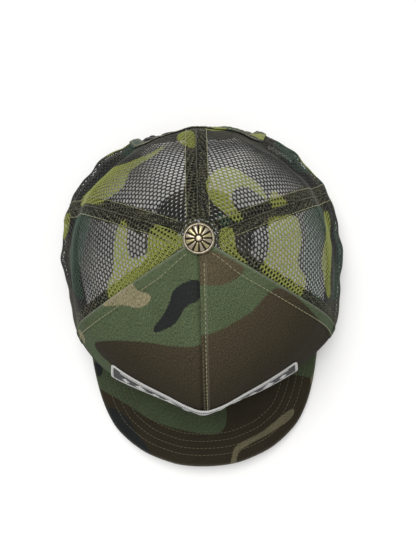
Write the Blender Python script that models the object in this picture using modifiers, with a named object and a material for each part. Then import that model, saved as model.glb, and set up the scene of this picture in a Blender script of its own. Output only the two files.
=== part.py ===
"""Six-panel trucker cap: two fabric front panels, four mesh panels, curved visor, snap closure.

Frame: metres, +Z up, the visor points to -Y, +X is the right-hand side seen from above with
the visor down.  The origin is the centre of the cap's footprint on the plane that the rim rests on.
"""
import math

import bmesh
import bpy
from mathutils import Matrix, Vector

MM = 0.001

# ---------------------------------------------------------------- driving dimensions (mm)
BUTTON_Y = 38.2            # the button's axis, where all six seams meet
RIM_Z = 0.42               # lifts the rim's reference line so that the mesh's outer edge stands at zero
CROWN_Z = 125.0            # height of the crown's top under the button
TOP_R = 5.5                # the panels stop here, and the button's post fills the rest
FABRIC_T = 1.0             # front panel fabric
MESH_T = 0.8               # knitted mesh
LINING_T = 0.8             # buckram and seam tape
LAYER_GAP = 0.3
SEAM_HALF_GAP = 0.2        # half the gap between two panels along their seam
TAPE_HALF_W = 7.75
SWEATBAND_T = 1.6
BINDING_W = 6.5
ARCH_HALF_W = 44.0         # rear opening, half its width
ARCH_H = 50.0
ARCH_POWER = 0.55          # below 1 squares the arch's shoulders
RIM_OVER_VISOR = 1.15      # the front panels' edge over the visor's top face
SEAM_SIDE = 54.5           # azimuth of the front/side seam at the rim, degrees from the visor's middle
SEAM_REAR_RIGHT = 112.0
SEAM_REAR_LEFT = 105.0
VISOR_BOARD_T = 1.8
VISOR_COVER_T = 0.9
VISOR_CREST_Z = 19.4       # height of the visor's middle line where it meets the crown
VISOR_SAG = 0.0022         # 1/mm, how fast the visor falls to the sides
VISOR_DROOP = 0.07         # fall per mm forwards
VISOR_ROOT_Y = -59.8
STRAP_W = 20.0
STRAP_T = 1.4
STRAP_Z = 14.5
STRAP_ROOT_X = 40.6        # where a strap bends, just inside the rear opening
STRAP_R = 300.0            # the straps are flatter than the crown
STRAP_END = 27.0           # a strap's free end lies this far past the middle
PEG_PITCH = 9.5
PEG_R = 1.9
PEG_H = 2.9
HOLE_R = 2.9
PATCH_H = 32.0
PATCH_HALF_W = 70.0        # along the front panels from the centre seam
PATCH_Z = 72.3
PATCH_DROOP = 11.0         # a flat patch laid on the leaning front falls away to its ends
PATCH_TILT = 3.0           # and this one is sewn on slightly lower on the right
PATCH_GAP = FABRIC_T + 0.55
BORDER_W = 2.4

# Meridians of the crown, (reach from the button's axis, height), from the rim up to the button.
KEYS = [0, 12, 25, 38, 54, 77, 97, 117, 140, 152, 166, 180]
MERIDIANS = [
    [(99, 21), (106, 31), (111, 41), (113, 53), (113, 64), (111.5, 75.5), (107, 87), (92, 100.5), (64, 113), (30, 121.8), (0, 125)],
    [(100.5, 20), (105, 30), (107.8, 41), (107.5, 53), (106, 64), (103, 77.5), (98, 89), (84, 101.5), (58, 113.3), (28, 121.8), (0, 125)],
    [(102.5, 16), (106, 27), (107.5, 39), (106.5, 51), (103.5, 63), (98.5, 77.5), (92, 89), (77, 101.5), (54, 113), (26, 121.6), (0, 125)],
    [(103.4, 9.5), (107.8, 21), (109.6, 33), (108.2, 46), (104.5, 59.5), (98, 74.5), (90, 88), (74, 101), (52, 112.5), (25, 121.4), (0, 125)],
    [(103.2, 1.5), (109.3, 12), (111.2, 24), (109.3, 35.5), (104, 49), (97, 65), (89, 80.5), (73, 97), (50, 111), (24, 121), (0, 125)],
    [(99, 0), (103.2, 11), (104.2, 22), (100.8, 33), (94.8, 45), (90, 61.5), (83, 77.5), (68, 95.5), (47, 110), (23, 120.8), (0, 125)],
    [(97, 0), (101, 11), (102, 22), (98, 32), (90.5, 42.5), (86, 56.5), (80, 74.5), (66, 94), (46, 109.5), (22.5, 120.8), (0, 125)],
    [(94, 0), (98.5, 11), (99.5, 22), (95, 32), (87, 42), (83, 55.5), (78, 73.5), (65, 93), (45, 109.3), (22, 120.8), (0, 125)],
    [(90.5, 0), (94.5, 11), (95.5, 22), (90.5, 32), (81.5, 42), (77.5, 55.5), (73, 73.5), (62, 92.5), (44, 109), (22, 120.8), (0, 125)],
    [(87, 0), (91, 11), (92.5, 22), (89, 33), (83, 43), (77.5, 56), (72, 72.5), (61, 92), (43.5, 109), (22, 120.8), (0, 125)],
    [(84, 0), (87, 11), (88.3, 22), (87, 33), (83, 44), (78.3, 56.5), (72, 72.5), (60.5, 91.5), (43, 109), (22, 120.8), (0, 125)],
    [(83, 0), (85.3, 11), (86.6, 22), (86, 33), (83.2, 44), (78.8, 57), (72.5, 72.5), (60, 91), (43, 108.6), (22, 120.8), (0, 125)],
]
VISOR_EDGE = [(0, -125.2), (15, -124.4), (28.4, -121.6), (48.2, -113.4), (64.6, -100.4), (73.4, -87.8), (80.2, -69.8), (84.9, -46.3), (86.6, -25.8)]

# Rows of the crown's lattice, as a share of the way from the rim to the button.  Every layer of the
# crown uses the same rows and columns, so that neighbouring layers have parallel faces.
ROWS = [0, 0.05, 0.1, 0.17, 0.235, 0.3, 0.365, 0.43, 0.5, 0.57, 0.64, 0.71, 0.78, 0.84, 0.895, 0.945]


# ---------------------------------------------------------------- shape functions
def hermite(xs, ys, x, start=None, end=None):
    """Smooth curve through (xs, ys). start and end set the slope at the ends."""
    n = len(xs)
    i = max(0, min(n - 2, sum(1 for v in xs[1:-1] if x >= v)))
    slope = [(ys[k + 1] - ys[k]) / (xs[k + 1] - xs[k]) for k in range(n - 1)]

    def tangent(k):
        if k == 0:
            return slope[0] if start is None else start
        if k == n - 1:
            return slope[-1] if end is None else end
        a, b = xs[k] - xs[k - 1], xs[k + 1] - xs[k]
        return (slope[k - 1] * b + slope[k] * a) / (a + b)

    h = xs[i + 1] - xs[i]
    t = (x - xs[i]) / h
    return (
        (2 * t**3 - 3 * t**2 + 1) * ys[i]
        + (t**3 - 2 * t**2 + t) * h * tangent(i)
        + (3 * t**2 - 2 * t**3) * ys[i + 1]
        + (t**3 - t**2) * h * tangent(i + 1)
    )


def visor_z(x, y):
    """Height of the visor's middle surface."""
    return VISOR_CREST_Z - VISOR_SAG * x * x + VISOR_DROOP * (y - VISOR_ROOT_Y)


def smooth(a, b, x):
    t = max(0.0, min(1.0, (x - a) / (b - a)))
    return t * t * (3 - 2 * t)


def table_point(phi, k):
    a = min(180.0, abs(phi))
    return [hermite(KEYS, [m[k][c] for m in MERIDIANS], a, end=0.0) for c in (0, 1)]


def rim_lift(phi):
    """How far the rim is raised so that the front panels stand on the visor."""
    a = abs(phi)
    if a > 84:
        return 0.0
    r, z = table_point(a, 0)
    t = math.radians(a)
    top = visor_z(r * math.sin(t), BUTTON_Y - r * math.cos(t)) + VISOR_BOARD_T / 2 + VISOR_COVER_T + LAYER_GAP + RIM_OVER_VISOR - RIM_Z
    return (top - z) * (1 - smooth(SEAM_SIDE + 1.0, 84.0, a))


LIFTS = {}


def crown_base(phi, s):
    """A point of the crown's reference surface in mm: s is 0 at the rim and 1 on the button's axis."""
    if s < 0:
        p0, p1 = crown_base(phi, 0.0), crown_base(phi, 0.02)
        return p0 + (p1 - p0) * (s / 0.02)
    if abs(phi) > 180:
        phi -= math.copysign(360.0, phi)
    i = min(9, int(s * 10))
    ks = [k for k in (i - 1, i, i + 1, i + 2) if 0 <= k <= 10]
    pts = [table_point(phi, k) for k in ks]
    if len(ks) == 4:
        r = hermite(ks, [p[0] for p in pts], s * 10)
        z = hermite(ks, [p[1] for p in pts], s * 10)
    elif i == 0:
        r = hermite(ks, [p[0] for p in pts], s * 10)
        z = hermite(ks, [p[1] for p in pts], s * 10)
    else:
        r = hermite(ks, [p[0] for p in pts], s * 10)
        z = hermite(ks, [p[1] for p in pts], s * 10, end=0.0)
    if s < 0.35:
        key = round(phi, 3)
        if key not in LIFTS:
            LIFTS[key] = rim_lift(phi)
        z += LIFTS[key] * (1 - s / 0.35) ** 2
    t = math.radians(phi)
    return Vector((r * math.sin(t), BUTTON_Y - r * math.cos(t), z + RIM_Z))


def normal_at(phi, s, side):
    d = 0.05
    if abs(phi) < d and side != 0:
        p0, p1 = (crown_base(0.0, s), crown_base(d * 2, s)) if side > 0 else (crown_base(-d * 2, s), crown_base(0.0, s))
    else:
        p0, p1 = crown_base(phi - d, s), crown_base(phi + d, s)
    q0, q1 = crown_base(phi, s - 0.004), crown_base(phi, min(0.99, s + 0.004))
    n = (p1 - p0).cross(q1 - q0)
    n.normalize()
    out = Vector((math.sin(math.radians(phi)), -math.cos(math.radians(phi)), 0.35))
    return -n if n.dot(out) < 0 else n


def crown(phi, s, off=0.0):
    """crown_base moved out along the surface's normal; on the front ridge the offset is mitred."""
    if abs(phi) < 0.01:
        right, left = normal_at(0.0, s, 1), normal_at(0.0, s, -1)
        n = (right + left).normalized()
        return crown_base(0.0, s) + n * (off / max(0.5, n.dot(right)))
    return crown_base(phi, s) + normal_at(phi, s, 1 if phi > 0 else -1) * off


def seam(which, s):
    """Azimuth of a seam at height s: 0 front, 1 front side, 2 rear side, 3 back; negative on the left."""
    k, sign = abs(which), (1 if which >= 0 else -1)
    if k == 0:
        return 0.0
    if k == 1:
        return sign * (SEAM_SIDE + 4.0 * smooth(0.0, 0.5, s))
    if k == 2:
        low = SEAM_REAR_RIGHT if sign > 0 else SEAM_REAR_LEFT
        return sign * (low + (110.5 - low) * smooth(0.0, 0.6, s))
    return sign * 180.0


def radius(phi, s):
    p = crown_base(phi, s)
    return math.hypot(p.x, p.y - BUTTON_Y)


def s_of_z(phi, z):
    """The lowest s at which the crown reaches height z."""
    lo, hi = 0.0, 0.9
    for _ in range(20):
        mid = (lo + hi) / 2
        if crown_base(phi, mid).z < z:
            lo = mid
        else:
            hi = mid
    return (lo + hi) / 2


def s_of_r(phi, r):
    """The s near the top at which the crown is r from the button's axis."""
    lo, hi = 0.5, 1.0
    for _ in range(20):
        mid = (lo + hi) / 2
        if radius(phi, mid) > r:
            lo = mid
        else:
            hi = mid
    return (lo + hi) / 2


FRONT_N, SIDE_N = 7, 5
BACK_STOPS = [124.0, 131.5, 139.0, 145.0, 150.0, 156.5, 163.0, 169.0]
BACK_LOW = (117.3, 174.7)


def panel_lines(which, sign, s):
    """Azimuths of a panel's lattice columns at height s, from the seam nearer the front to the other."""
    a, b = abs(seam(sign * which, s)), abs(seam(sign * (which + 1), s))
    r = radius(sign * (a + b) / 2, s)
    cut = math.degrees(SEAM_HALF_GAP / r)
    tape = min(math.degrees(TAPE_HALF_W / r), 0.3 * (b - a))
    if which == 2:
        shares = [(v - BACK_LOW[0]) / (BACK_LOW[1] - BACK_LOW[0]) for v in BACK_STOPS]
    else:
        n = FRONT_N if which == 0 else SIDE_N
        shares = [k / (n + 1) for k in range(1, n + 1)]
    lines = [a + cut, a + tape] + [a + tape + (b - a - 2 * tape) * f for f in shares] + [b - tape, b - cut]
    return [sign * v for v in lines]


def visor_edge(t):
    """Outer edge of the visor in plan: t runs from -1 on the left through 0 in front to 1 on the right."""
    n = len(VISOR_EDGE)
    a = abs(t) * (n - 1)
    x = hermite(list(range(n)), [p[0] for p in VISOR_EDGE], a)
    y = hermite(list(range(n)), [p[1] for p in VISOR_EDGE], a, start=0.0)
    return (x if t >= 0 else -x), y


def back_point(x, z, off):
    """The point of the crown's back at sideways position x and height z."""
    lo, hi = 90.0, 180.0
    for _ in range(18):
        mid = (lo + hi) / 2
        p = crown_base(mid, s_of_z(mid, z))
        if p.x > abs(x):
            lo = mid
        else:
            hi = mid
    phi = (lo + hi) / 2
    if x < 0:
        phi = -phi
    return crown(phi, s_of_z(phi, z), off)


# ---------------------------------------------------------------- helpers that make objects
scene = bpy.context.scene
for old in list(bpy.data.objects):
    bpy.data.objects.remove(old, do_unlink=True)
cap = bpy.data.collections.new("trucker_cap")
scene.collection.children.link(cap)
cutters = bpy.data.collections.new("cutters")
scene.collection.children.link(cutters)

MATERIALS = {}


def material(name, colour, rough, metal=0.0):
    if name not in MATERIALS:
        m = bpy.data.materials.new(name)
        m.use_nodes = True
        b = m.node_tree.nodes["Principled BSDF"]
        b.inputs["Base Color"].default_value = (*colour, 1)
        b.inputs["Roughness"].default_value = rough
        b.inputs["Metallic"].default_value = metal
        MATERIALS[name] = m
    return MATERIALS[name]


CAMO_TWILL = ("camo_twill", (0.075, 0.082, 0.05), 0.9)
CAMO_MESH = ("camo_mesh", (0.09, 0.09, 0.04), 0.85)
BUCKRAM = ("buckram", (0.62, 0.62, 0.58), 0.9)
TAPE = ("seam_tape", (0.03, 0.032, 0.026), 0.9)
BAND = ("sweatband", (0.02, 0.02, 0.02), 0.95)
BOARD = ("visor_board", (0.75, 0.75, 0.72), 0.55)
STRAP = ("snap_plastic", (0.018, 0.018, 0.018), 0.4)
METAL = ("antique_metal", (0.42, 0.38, 0.28), 0.32, 1.0)
PATCH = ("patch_field", (0.012, 0.012, 0.013), 0.9)
THREAD = ("white_thread", (0.75, 0.75, 0.73), 0.7)
LABEL = ("label_satin", (0.72, 0.72, 0.7), 0.5)


def adopt(obj, name, look, collection=None):
    """Names the object made by the last operator, gives it its material and moves it to the cap."""
    obj.name = name
    obj.data.name = name
    for c in list(obj.users_collection):
        c.objects.unlink(obj)
    (collection or cap).objects.link(obj)
    if look:
        obj.data.materials.clear()
        obj.data.materials.append(material(*look))
    return obj


def sheet(name, nu, nv, place, thickness, look, smooth_shade=True):
    """A grid primitive laid on a surface by place(u, v) in mm, then given its thickness outwards."""
    bpy.ops.mesh.primitive_grid_add(x_subdivisions=nu, y_subdivisions=nv, size=2)
    obj = bpy.context.object
    for v in obj.data.vertices:
        u, w = (v.co.x + 1) / 2, (v.co.y + 1) / 2
        v.co = place(u, w) * MM
    bm = bmesh.new()
    bm.from_mesh(obj.data)
    bmesh.ops.recalc_face_normals(bm, faces=bm.faces)
    bm.faces.ensure_lookup_table()
    face = bm.faces[len(bm.faces) // 2]
    if face.normal.dot(outward(face.calc_center_median())) < 0:
        bmesh.ops.reverse_faces(bm, faces=bm.faces)
    bm.to_mesh(obj.data)
    bm.free()
    adopt(obj, name, look)
    solid = obj.modifiers.new("thickness", "SOLIDIFY")
    solid.thickness = thickness * MM
    solid.offset = 1.0
    solid.use_even_offset = False
    if smooth_shade:
        obj.data.shade_smooth()
    return obj


def outward(p):
    """Away from the middle of the head space, or up for the visor."""
    if p.y < -0.075:
        return Vector((0, 0, 1))
    return p - Vector((0, BUTTON_Y * MM, 0.03))


def between(a, b, t):
    return a + (b - a) * t


def lattice(name, lines, rows, off, thickness, look):
    """A sheet whose columns are lines(s), a list of azimuths at height s, and whose rows are given."""
    n = len(lines(0.2))

    def place(u, v):
        i, j = round(u * (n - 1)), round(v * (len(rows) - 1))
        s = rows[j]
        if s == "top":
            s = s_of_r(lines(0.97)[i], TOP_R)
        return crown(lines(s)[i], s, off)

    return sheet(name, n - 1, len(rows) - 1, place, thickness, look)


# ---------------------------------------------------------------- crown panels
for side, sign in (("right", 1), ("left", -1)):
    lattice("front_panel_" + side, lambda s, sign=sign: panel_lines(0, sign, s), ROWS + ["top"], 0.0, FABRIC_T, CAMO_TWILL)
    lattice("side_mesh_" + side, lambda s, sign=sign: panel_lines(1, sign, s), ROWS + ["top"], 0.0, MESH_T, CAMO_MESH)

# The opening over the snap closure, as a rounded arch cut straight through the two rear panels.
curve = bpy.data.curves.new("arch_outline", "CURVE")
curve.dimensions = "2D"
curve.fill_mode = "BOTH"
curve.extrude = 30 * MM
spline = curve.splines.new("POLY")
outline = [(ARCH_HALF_W, -6.0)]
for k in range(17):
    t = math.pi * k / 16
    c, w = math.cos(t), math.sin(t)
    outline.append((ARCH_HALF_W * math.copysign(abs(c) ** ARCH_POWER, c), ARCH_H * abs(w) ** ARCH_POWER))
outline.append((-ARCH_HALF_W, -6.0))
spline.points.add(len(outline) - 1)
for p, (x, z) in zip(spline.points, outline):
    p.co = (x * MM, z * MM, 0, 1)
spline.use_cyclic_u = True
arch_object = bpy.data.objects.new("arch_outline", curve)
scene.collection.objects.link(arch_object)
bpy.context.view_layer.objects.active = arch_object
arch_object.select_set(True)
bpy.ops.object.convert(target="MESH")
arch_cut = bpy.context.object
bm = bmesh.new()
bm.from_mesh(arch_cut.data)
bmesh.ops.remove_doubles(bm, verts=bm.verts, dist=0.00001)
bmesh.ops.recalc_face_normals(bm, faces=bm.faces)
bm.to_mesh(arch_cut.data)
bm.free()
adopt(arch_cut, "arch_cutter", None, cutters)
arch_cut.rotation_euler = (math.radians(90), 0, 0)
arch_cut.location = (0, 115 * MM, 0)
arch_cut.hide_render = True
arch_cut.display_type = "WIRE"


def boolean(obj, other, operation):
    m = obj.modifiers.new(operation.lower() + "_" + other.name, "BOOLEAN")
    m.operation = operation
    m.object = other
    m.solver = "EXACT"


for side, sign in (("right", 1), ("left", -1)):
    back = lattice("back_mesh_" + side, lambda s, sign=sign: panel_lines(2, sign, s), ROWS + ["top"], 0.0, MESH_T, CAMO_MESH)
    boolean(back, arch_cut, "DIFFERENCE")

# Stiff lining glued behind the two front panels, clear of the seams so that the tapes lie beside it.
for side, sign in (("right", 1), ("left", -1)):

    def lining(s, sign=sign):
        lines = panel_lines(0, sign, s)[1:-1]
        clear = sign * math.degrees(0.8 / radius(sign * 28, s))
        return [lines[0] + clear] + lines[1:-1] + [lines[-1] - clear]

    lattice("front_buckram_" + side, lining, ROWS[1:14], -LAYER_GAP - LINING_T, LINING_T, BUCKRAM)

# ---------------------------------------------------------------- seam tapes inside the crown


def tape_lines(which, s):
    """A tape's edges and middle: the middle runs along the seam, the edges along the panels' tape lines."""
    k, sign = abs(which), (1 if which >= 0 else -1)
    if k == 0:
        return [panel_lines(0, -1, s)[1], 0.0, panel_lines(0, 1, s)[1]]
    if k == 3:
        return [panel_lines(2, -1, s)[-2] + 360.0, 180.0, panel_lines(2, 1, s)[-2]]
    return [panel_lines(k - 1, sign, s)[-2], seam(which, s), panel_lines(k, sign, s)[1]]


TAPE_ROWS = ROWS[1:15]
for label, which, rows in (
    ("front", 0, TAPE_ROWS),
    ("front_right", 1, TAPE_ROWS),
    ("front_left", -1, TAPE_ROWS),
    ("side_right", 2, TAPE_ROWS),
    ("side_left", -2, TAPE_ROWS),
    ("back", 3, ROWS[8:15]),
):
    lattice("seam_tape_" + label, lambda s, which=which: tape_lines(which, s), rows, -LAYER_GAP - LINING_T, LINING_T, TAPE)

# ---------------------------------------------------------------- sweatband and opening binding
BAND_OFF = -2 * LAYER_GAP - LINING_T - 0.1 - SWEATBAND_T
BAND_LOW = -0.05


def band_lines(s):
    q = max(s, 0.0)
    right = [0.0] + panel_lines(0, 1, q)[1:-1] + [seam(1, q)] + panel_lines(1, 1, q)[1:-1] + [seam(2, q)] + panel_lines(2, 1, q)[1:7]
    left = [0.0] + panel_lines(0, -1, q)[1:-1] + [seam(-1, q)] + panel_lines(1, -1, q)[1:-1] + [seam(-2, q)] + panel_lines(2, -1, q)[1:7]
    return left[:0:-1] + right


def sweatband():
    n = len(band_lines(0.2))
    rows = ["low"] + ROWS[0:6]

    def place(u, v):
        i, j = round(u * (n - 1)), round(v * (len(rows) - 1))
        if j == 0:
            phi = band_lines(0.0)[i]
            s = BAND_LOW * (1 - smooth(SEAM_SIDE - 4, SEAM_SIDE + 12, abs(phi)))
            if s > -0.004:
                # Beyond the visor the lowest row lies just above the rim's row, inside the rim.
                s = 0.0
            return crown(phi, s, BAND_OFF)
        s = rows[j]
        phi = band_lines(s)[i]
        if j == 1:
            low = BAND_LOW * (1 - smooth(SEAM_SIDE - 4, SEAM_SIDE + 12, abs(phi)))
            s = 0.0 if low < -0.02 else 0.02
        return crown(phi, s, BAND_OFF)

    return sheet("sweatband", n - 1, len(rows) - 1, place, SWEATBAND_T, BAND)


sweatband()


def arch_band_place(u, v):
    t = math.pi * between(0.055, 0.945, u)
    c, w = math.cos(t), math.sin(t)
    x, z = ARCH_HALF_W * math.copysign(abs(c) ** ARCH_POWER, c), ARCH_H * abs(w) ** ARCH_POWER
    # Step out from the opening's edge along the outline's normal.
    e = 0.01
    c2, w2 = math.cos(t + e), math.sin(t + e)
    dx, dz = ARCH_HALF_W * math.copysign(abs(c2) ** ARCH_POWER, c2) - x, ARCH_H * abs(w2) ** ARCH_POWER - z
    length = math.hypot(dx, dz)
    out = between(0.4, BINDING_W, v)
    return back_point(x + dz / length * out, z - dx / length * out, MESH_T + LAYER_GAP + 0.15)


sheet("rear_arch_binding", 26, 1, arch_band_place, 0.7, CAMO_MESH)

# ---------------------------------------------------------------- visor


def visor_layer(name, off, thickness, look, shrink, nu=22, nv=6):
    """One layer of the visor; its inner edge lies under the front panels, against the sweatband."""

    def place(u, v):
        t = between(-1.0, 1.0, u)
        phi = t * (SEAM_SIDE - 0.6)
        rim = crown_base(phi, 0.0)
        back = Vector((math.sin(math.radians(phi)), -math.cos(math.radians(phi)))) * 1.1
        start = Vector((rim.x, rim.y)) - back
        x1, y1 = visor_edge(t)
        p = start + (Vector((x1, y1)) - start) * v
        p = Vector((p.x * shrink, -50 + (p.y + 50) * shrink))
        n = Vector((2 * VISOR_SAG * p.x, -VISOR_DROOP, 1)).normalized()
        return Vector((p.x, p.y, visor_z(p.x, p.y))) + n * off

    return sheet(name, nu, nv, place, thickness, look)


visor_layer("visor_board", -VISOR_BOARD_T / 2, VISOR_BOARD_T, BOARD, 0.978)
visor_layer("visor_top_cover", VISOR_BOARD_T / 2 + LAYER_GAP, VISOR_COVER_T, CAMO_TWILL, 1.0)
visor_layer("visor_under_cover", -VISOR_BOARD_T / 2 - LAYER_GAP - VISOR_COVER_T, VISOR_COVER_T, CAMO_TWILL, 1.0)

# ---------------------------------------------------------------- snap closure
# Both straps follow one arc across the opening.  The left one carries the pegs and lies inside,
# the right one carries the holes and lies outside.  Each bends where it leaves its sewn tab, so
# its origin is on that vertical line.
TAB_T = 0.7
tab_end = back_point(STRAP_ROOT_X, STRAP_Z, -LAYER_GAP)
ARC_Y0 = tab_end.y + 0.15                       # inner face of the outer strap at its root
ARC_CENTRE_Y = ARC_Y0 - math.sqrt(STRAP_R**2 - STRAP_ROOT_X**2)
ROOT_ANGLE = math.degrees(math.asin(STRAP_ROOT_X / STRAP_R))


def strap_point(a, off, z):
    """a is in degrees from the back's middle, positive to the right; off is outwards."""
    r = STRAP_R + off
    t = math.radians(a)
    return Vector((r * math.sin(t), ARC_CENTRE_Y + r * math.cos(t), z))


def degrees_of(mm):
    return math.degrees(mm / STRAP_R)


INNER, OUTER = -0.5 - STRAP_T, 0.0
REST_PEGS = [(k - 4) * PEG_PITCH + PEG_PITCH / 2 for k in range(0, 7)]     # along the left strap
REST_HOLES = [(k - 2) * PEG_PITCH - PEG_PITCH / 2 for k in range(0, 7)]    # along the right strap


def move_origin(obj, target):
    """Puts the object's origin on its bending line without moving its shape."""
    obj.data.transform(Matrix.Translation(-target))
    obj.location = target


def strap_bar(name, sign, off, pivot_off):
    """The flat bar of a strap, with a rounded free end."""
    root_a = sign * ROOT_ANGLE
    end_a = -sign * degrees_of(STRAP_END)

    def place(u, v):
        a = between(root_a, end_a, u ** 0.8)
        left = abs(a - end_a) / degrees_of(1.0)
        half = STRAP_W / 2
        if left < half:
            half = max(2.4, math.sqrt(max(0.0, half**2 - (half - left) ** 2)))
        return strap_point(a, off, STRAP_Z + (v - 0.5) * 2 * half)

    obj = sheet(name, 26, 2, place, STRAP_T, STRAP)
    move_origin(obj, strap_point(root_a, pivot_off, STRAP_Z) * MM)
    return obj


def radial_cylinder(name, a, off0, off1, r0, r1, z, segments):
    """A cylinder or cone across the strap, from off0 to off1 along the local normal."""
    length = (off1 - off0) * MM
    bpy.ops.mesh.primitive_cone_add(vertices=segments, radius1=r0 * MM, radius2=r1 * MM, depth=length, end_fill_type="NGON")
    obj = bpy.context.object
    middle = strap_point(a, (off0 + off1) / 2, z) * MM
    t = math.radians(a)
    normal = Vector((math.sin(t), math.cos(t), 0))
    obj.matrix_world = Matrix.Translation(middle) @ normal.to_track_quat("Z", "Y").to_matrix().to_4x4()
    bpy.context.view_layer.update()
    adopt(obj, name, STRAP, cutters)
    obj.hide_render = True
    obj.display_type = "WIRE"
    return obj


strap_left = strap_bar("strap_left_pegs", -1, INNER, INNER + 0.4)
for k, x in enumerate(REST_PEGS):
    peg = radial_cylinder("peg_%d" % k, degrees_of(x), INNER + STRAP_T * 0.4, INNER + STRAP_T + PEG_H, PEG_R, PEG_R * 0.85, STRAP_Z, 10)
    boolean(strap_left, peg, "UNION")

strap_right = strap_bar("strap_right_holes", 1, OUTER, OUTER + STRAP_T - 0.2)
for k, x in enumerate(REST_HOLES):
    hole = radial_cylinder("hole_%d" % k, degrees_of(x), -3.0, 5.0, HOLE_R, HOLE_R, STRAP_Z, 12)
    boolean(strap_right, hole, "DIFFERENCE")


def strap_tab(name, sign):
    """The sewn end of a strap, held between the mesh and the sweatband."""

    def tip(s):
        lo, hi = 140.0, 175.0
        for _ in range(16):
            mid = (lo + hi) / 2
            if crown_base(mid, s).x > STRAP_ROOT_X + 0.5:
                lo = mid
            else:
                hi = mid
        return sign * lo

    # The first three lines are lattice columns; the tab's tip is past the opening's edge.
    lattice(name, lambda s: panel_lines(2, sign, s)[4:7] + [tip(s)], ROWS[1:5], -LAYER_GAP - TAB_T, TAB_T, STRAP)


strap_tab("strap_tab_left", -1)
strap_tab("strap_tab_right", 1)

# ---------------------------------------------------------------- button


def turned(name, profile, look, steps=24, ring=False):
    """A solid of revolution about the button's axis; a ring's profile is a closed loop."""
    mesh = bpy.data.meshes.new(name)
    bm = bmesh.new()
    verts = [bm.verts.new((r * MM, 0, z * MM)) for r, z in profile]
    for a, b in zip(verts, verts[1:]):
        bm.edges.new((a, b))
    if ring:
        bm.edges.new((verts[-1], verts[0]))
    bm.to_mesh(mesh)
    bm.free()
    obj = bpy.data.objects.new(name, mesh)
    scene.collection.objects.link(obj)
    adopt(obj, name, look)
    obj.location = (0, BUTTON_Y * MM, 0)
    screw = obj.modifiers.new("turn", "SCREW")
    screw.steps = steps
    screw.render_steps = steps
    screw.use_merge_vertices = True
    screw.merge_threshold = 0.00001
    screw.use_smooth_shade = True
    return obj


BUTTON_R = 9.2
Z0 = crown(90.0, s_of_r(90.0, BUTTON_R), 0.0).z + FABRIC_T + 0.9   # the shell's edge stands over the panels
turned("button_shell", [(0, Z0 + 4.6), (2.5, Z0 + 4.45), (5.0, Z0 + 3.9), (7.2, Z0 + 2.9), (8.7, Z0 + 1.6), (BUTTON_R, Z0 + 0.6), (8.9, Z0), (8.2, Z0), (6.8, Z0 + 2.0), (4.0, Z0 + 2.7), (2.1, Z0 + 2.9), (0, Z0 + 2.9)], METAL)
turned("button_post", [(0, Z0 + 2.6), (1.8, Z0 + 2.6), (1.8, CROWN_Z - 4.4), (0, CROWN_Z - 4.4)], METAL, 12)
BACK_Z = crown(90.0, s_of_r(90.0, 8.0), 0.0).z - 0.45
turned("button_backing", [(2.1, BACK_Z), (8.0, BACK_Z), (8.0, BACK_Z - 0.7), (2.1, BACK_Z - 0.7)], METAL, 20, True)

# ---------------------------------------------------------------- front patch
def front_arc(z):
    """Azimuth against distance from the centre seam along the front at height z, as a table."""
    table, last, total = [(0.0, 0.0)], crown_base(0.01, s_of_z(0.01, z)), 0.0
    for k in range(1, 25):
        phi = k * 2.0
        p = crown_base(phi, s_of_z(phi, z))
        total += (p - last).length
        table.append((total, phi))
        last = p
    return table


ARC_TABLES = {}


def patch_point(x, h, off):
    """A point x mm from the centre seam and h mm above the patch's middle."""
    k = x / PATCH_HALF_W
    z = PATCH_Z + h * 0.965 - PATCH_DROOP * k * k - PATCH_TILT * k
    key = round(z, 1)
    if key not in ARC_TABLES:
        ARC_TABLES[key] = front_arc(z)
    table = ARC_TABLES[key]
    d = abs(x)
    i = max(k for k in range(len(table) - 1) if table[k][0] <= d)
    (d0, a0), (d1, a1) = table[i], table[i + 1]
    phi = math.copysign(a0 + (a1 - a0) * (d - d0) / (d1 - d0), x)
    # The patch bridges the ridge at the centre seam in a soft curve.
    ease = 1.6 * math.exp(-((x / 6.0) ** 2))
    return crown(phi, s_of_z(phi, z), off) + Vector((0, -ease, 0))



def patch_field(u, v):
    x = between(-PATCH_HALF_W + BORDER_W + 0.3, PATCH_HALF_W - BORDER_W - 0.3, u)
    h = between(-PATCH_H / 2 + BORDER_W + 0.3, PATCH_H / 2 - BORDER_W - 0.3, v)
    return patch_point(x, h, PATCH_GAP)


sheet("patch_field", 22, 5, patch_field, 0.9, PATCH)

# The border is one closed ring round the field, made as a grid with the field's area cut out of it.
PATCH_XS = [-PATCH_HALF_W, -PATCH_HALF_W + BORDER_W] + [(-PATCH_HALF_W + BORDER_W) * (1 - k / 11) for k in range(1, 22)] + [PATCH_HALF_W - BORDER_W, PATCH_HALF_W]
PATCH_HS = [-PATCH_H / 2, -PATCH_H / 2 + BORDER_W, -PATCH_H / 5, 0.0, PATCH_H / 5, PATCH_H / 2 - BORDER_W, PATCH_H / 2]
bpy.ops.mesh.primitive_grid_add(x_subdivisions=len(PATCH_XS) - 1, y_subdivisions=len(PATCH_HS) - 1, size=2)
border = bpy.context.object
bm = bmesh.new()
bm.from_mesh(border.data)
inner = []
for f in bm.faces:
    c = f.calc_center_median()
    i = int((c.x + 1) / 2 * (len(PATCH_XS) - 1))
    j = int((c.y + 1) / 2 * (len(PATCH_HS) - 1))
    if 0 < i < len(PATCH_XS) - 2 and 0 < j < len(PATCH_HS) - 2:
        inner.append(f)
bmesh.ops.delete(bm, geom=inner, context="FACES")
for v in bm.verts:
    i = round((v.co.x + 1) / 2 * (len(PATCH_XS) - 1))
    j = round((v.co.y + 1) / 2 * (len(PATCH_HS) - 1))
    v.co = patch_point(PATCH_XS[i], PATCH_HS[j], PATCH_GAP) * MM
bmesh.ops.recalc_face_normals(bm, faces=bm.faces)
bm.faces.ensure_lookup_table()
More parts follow.
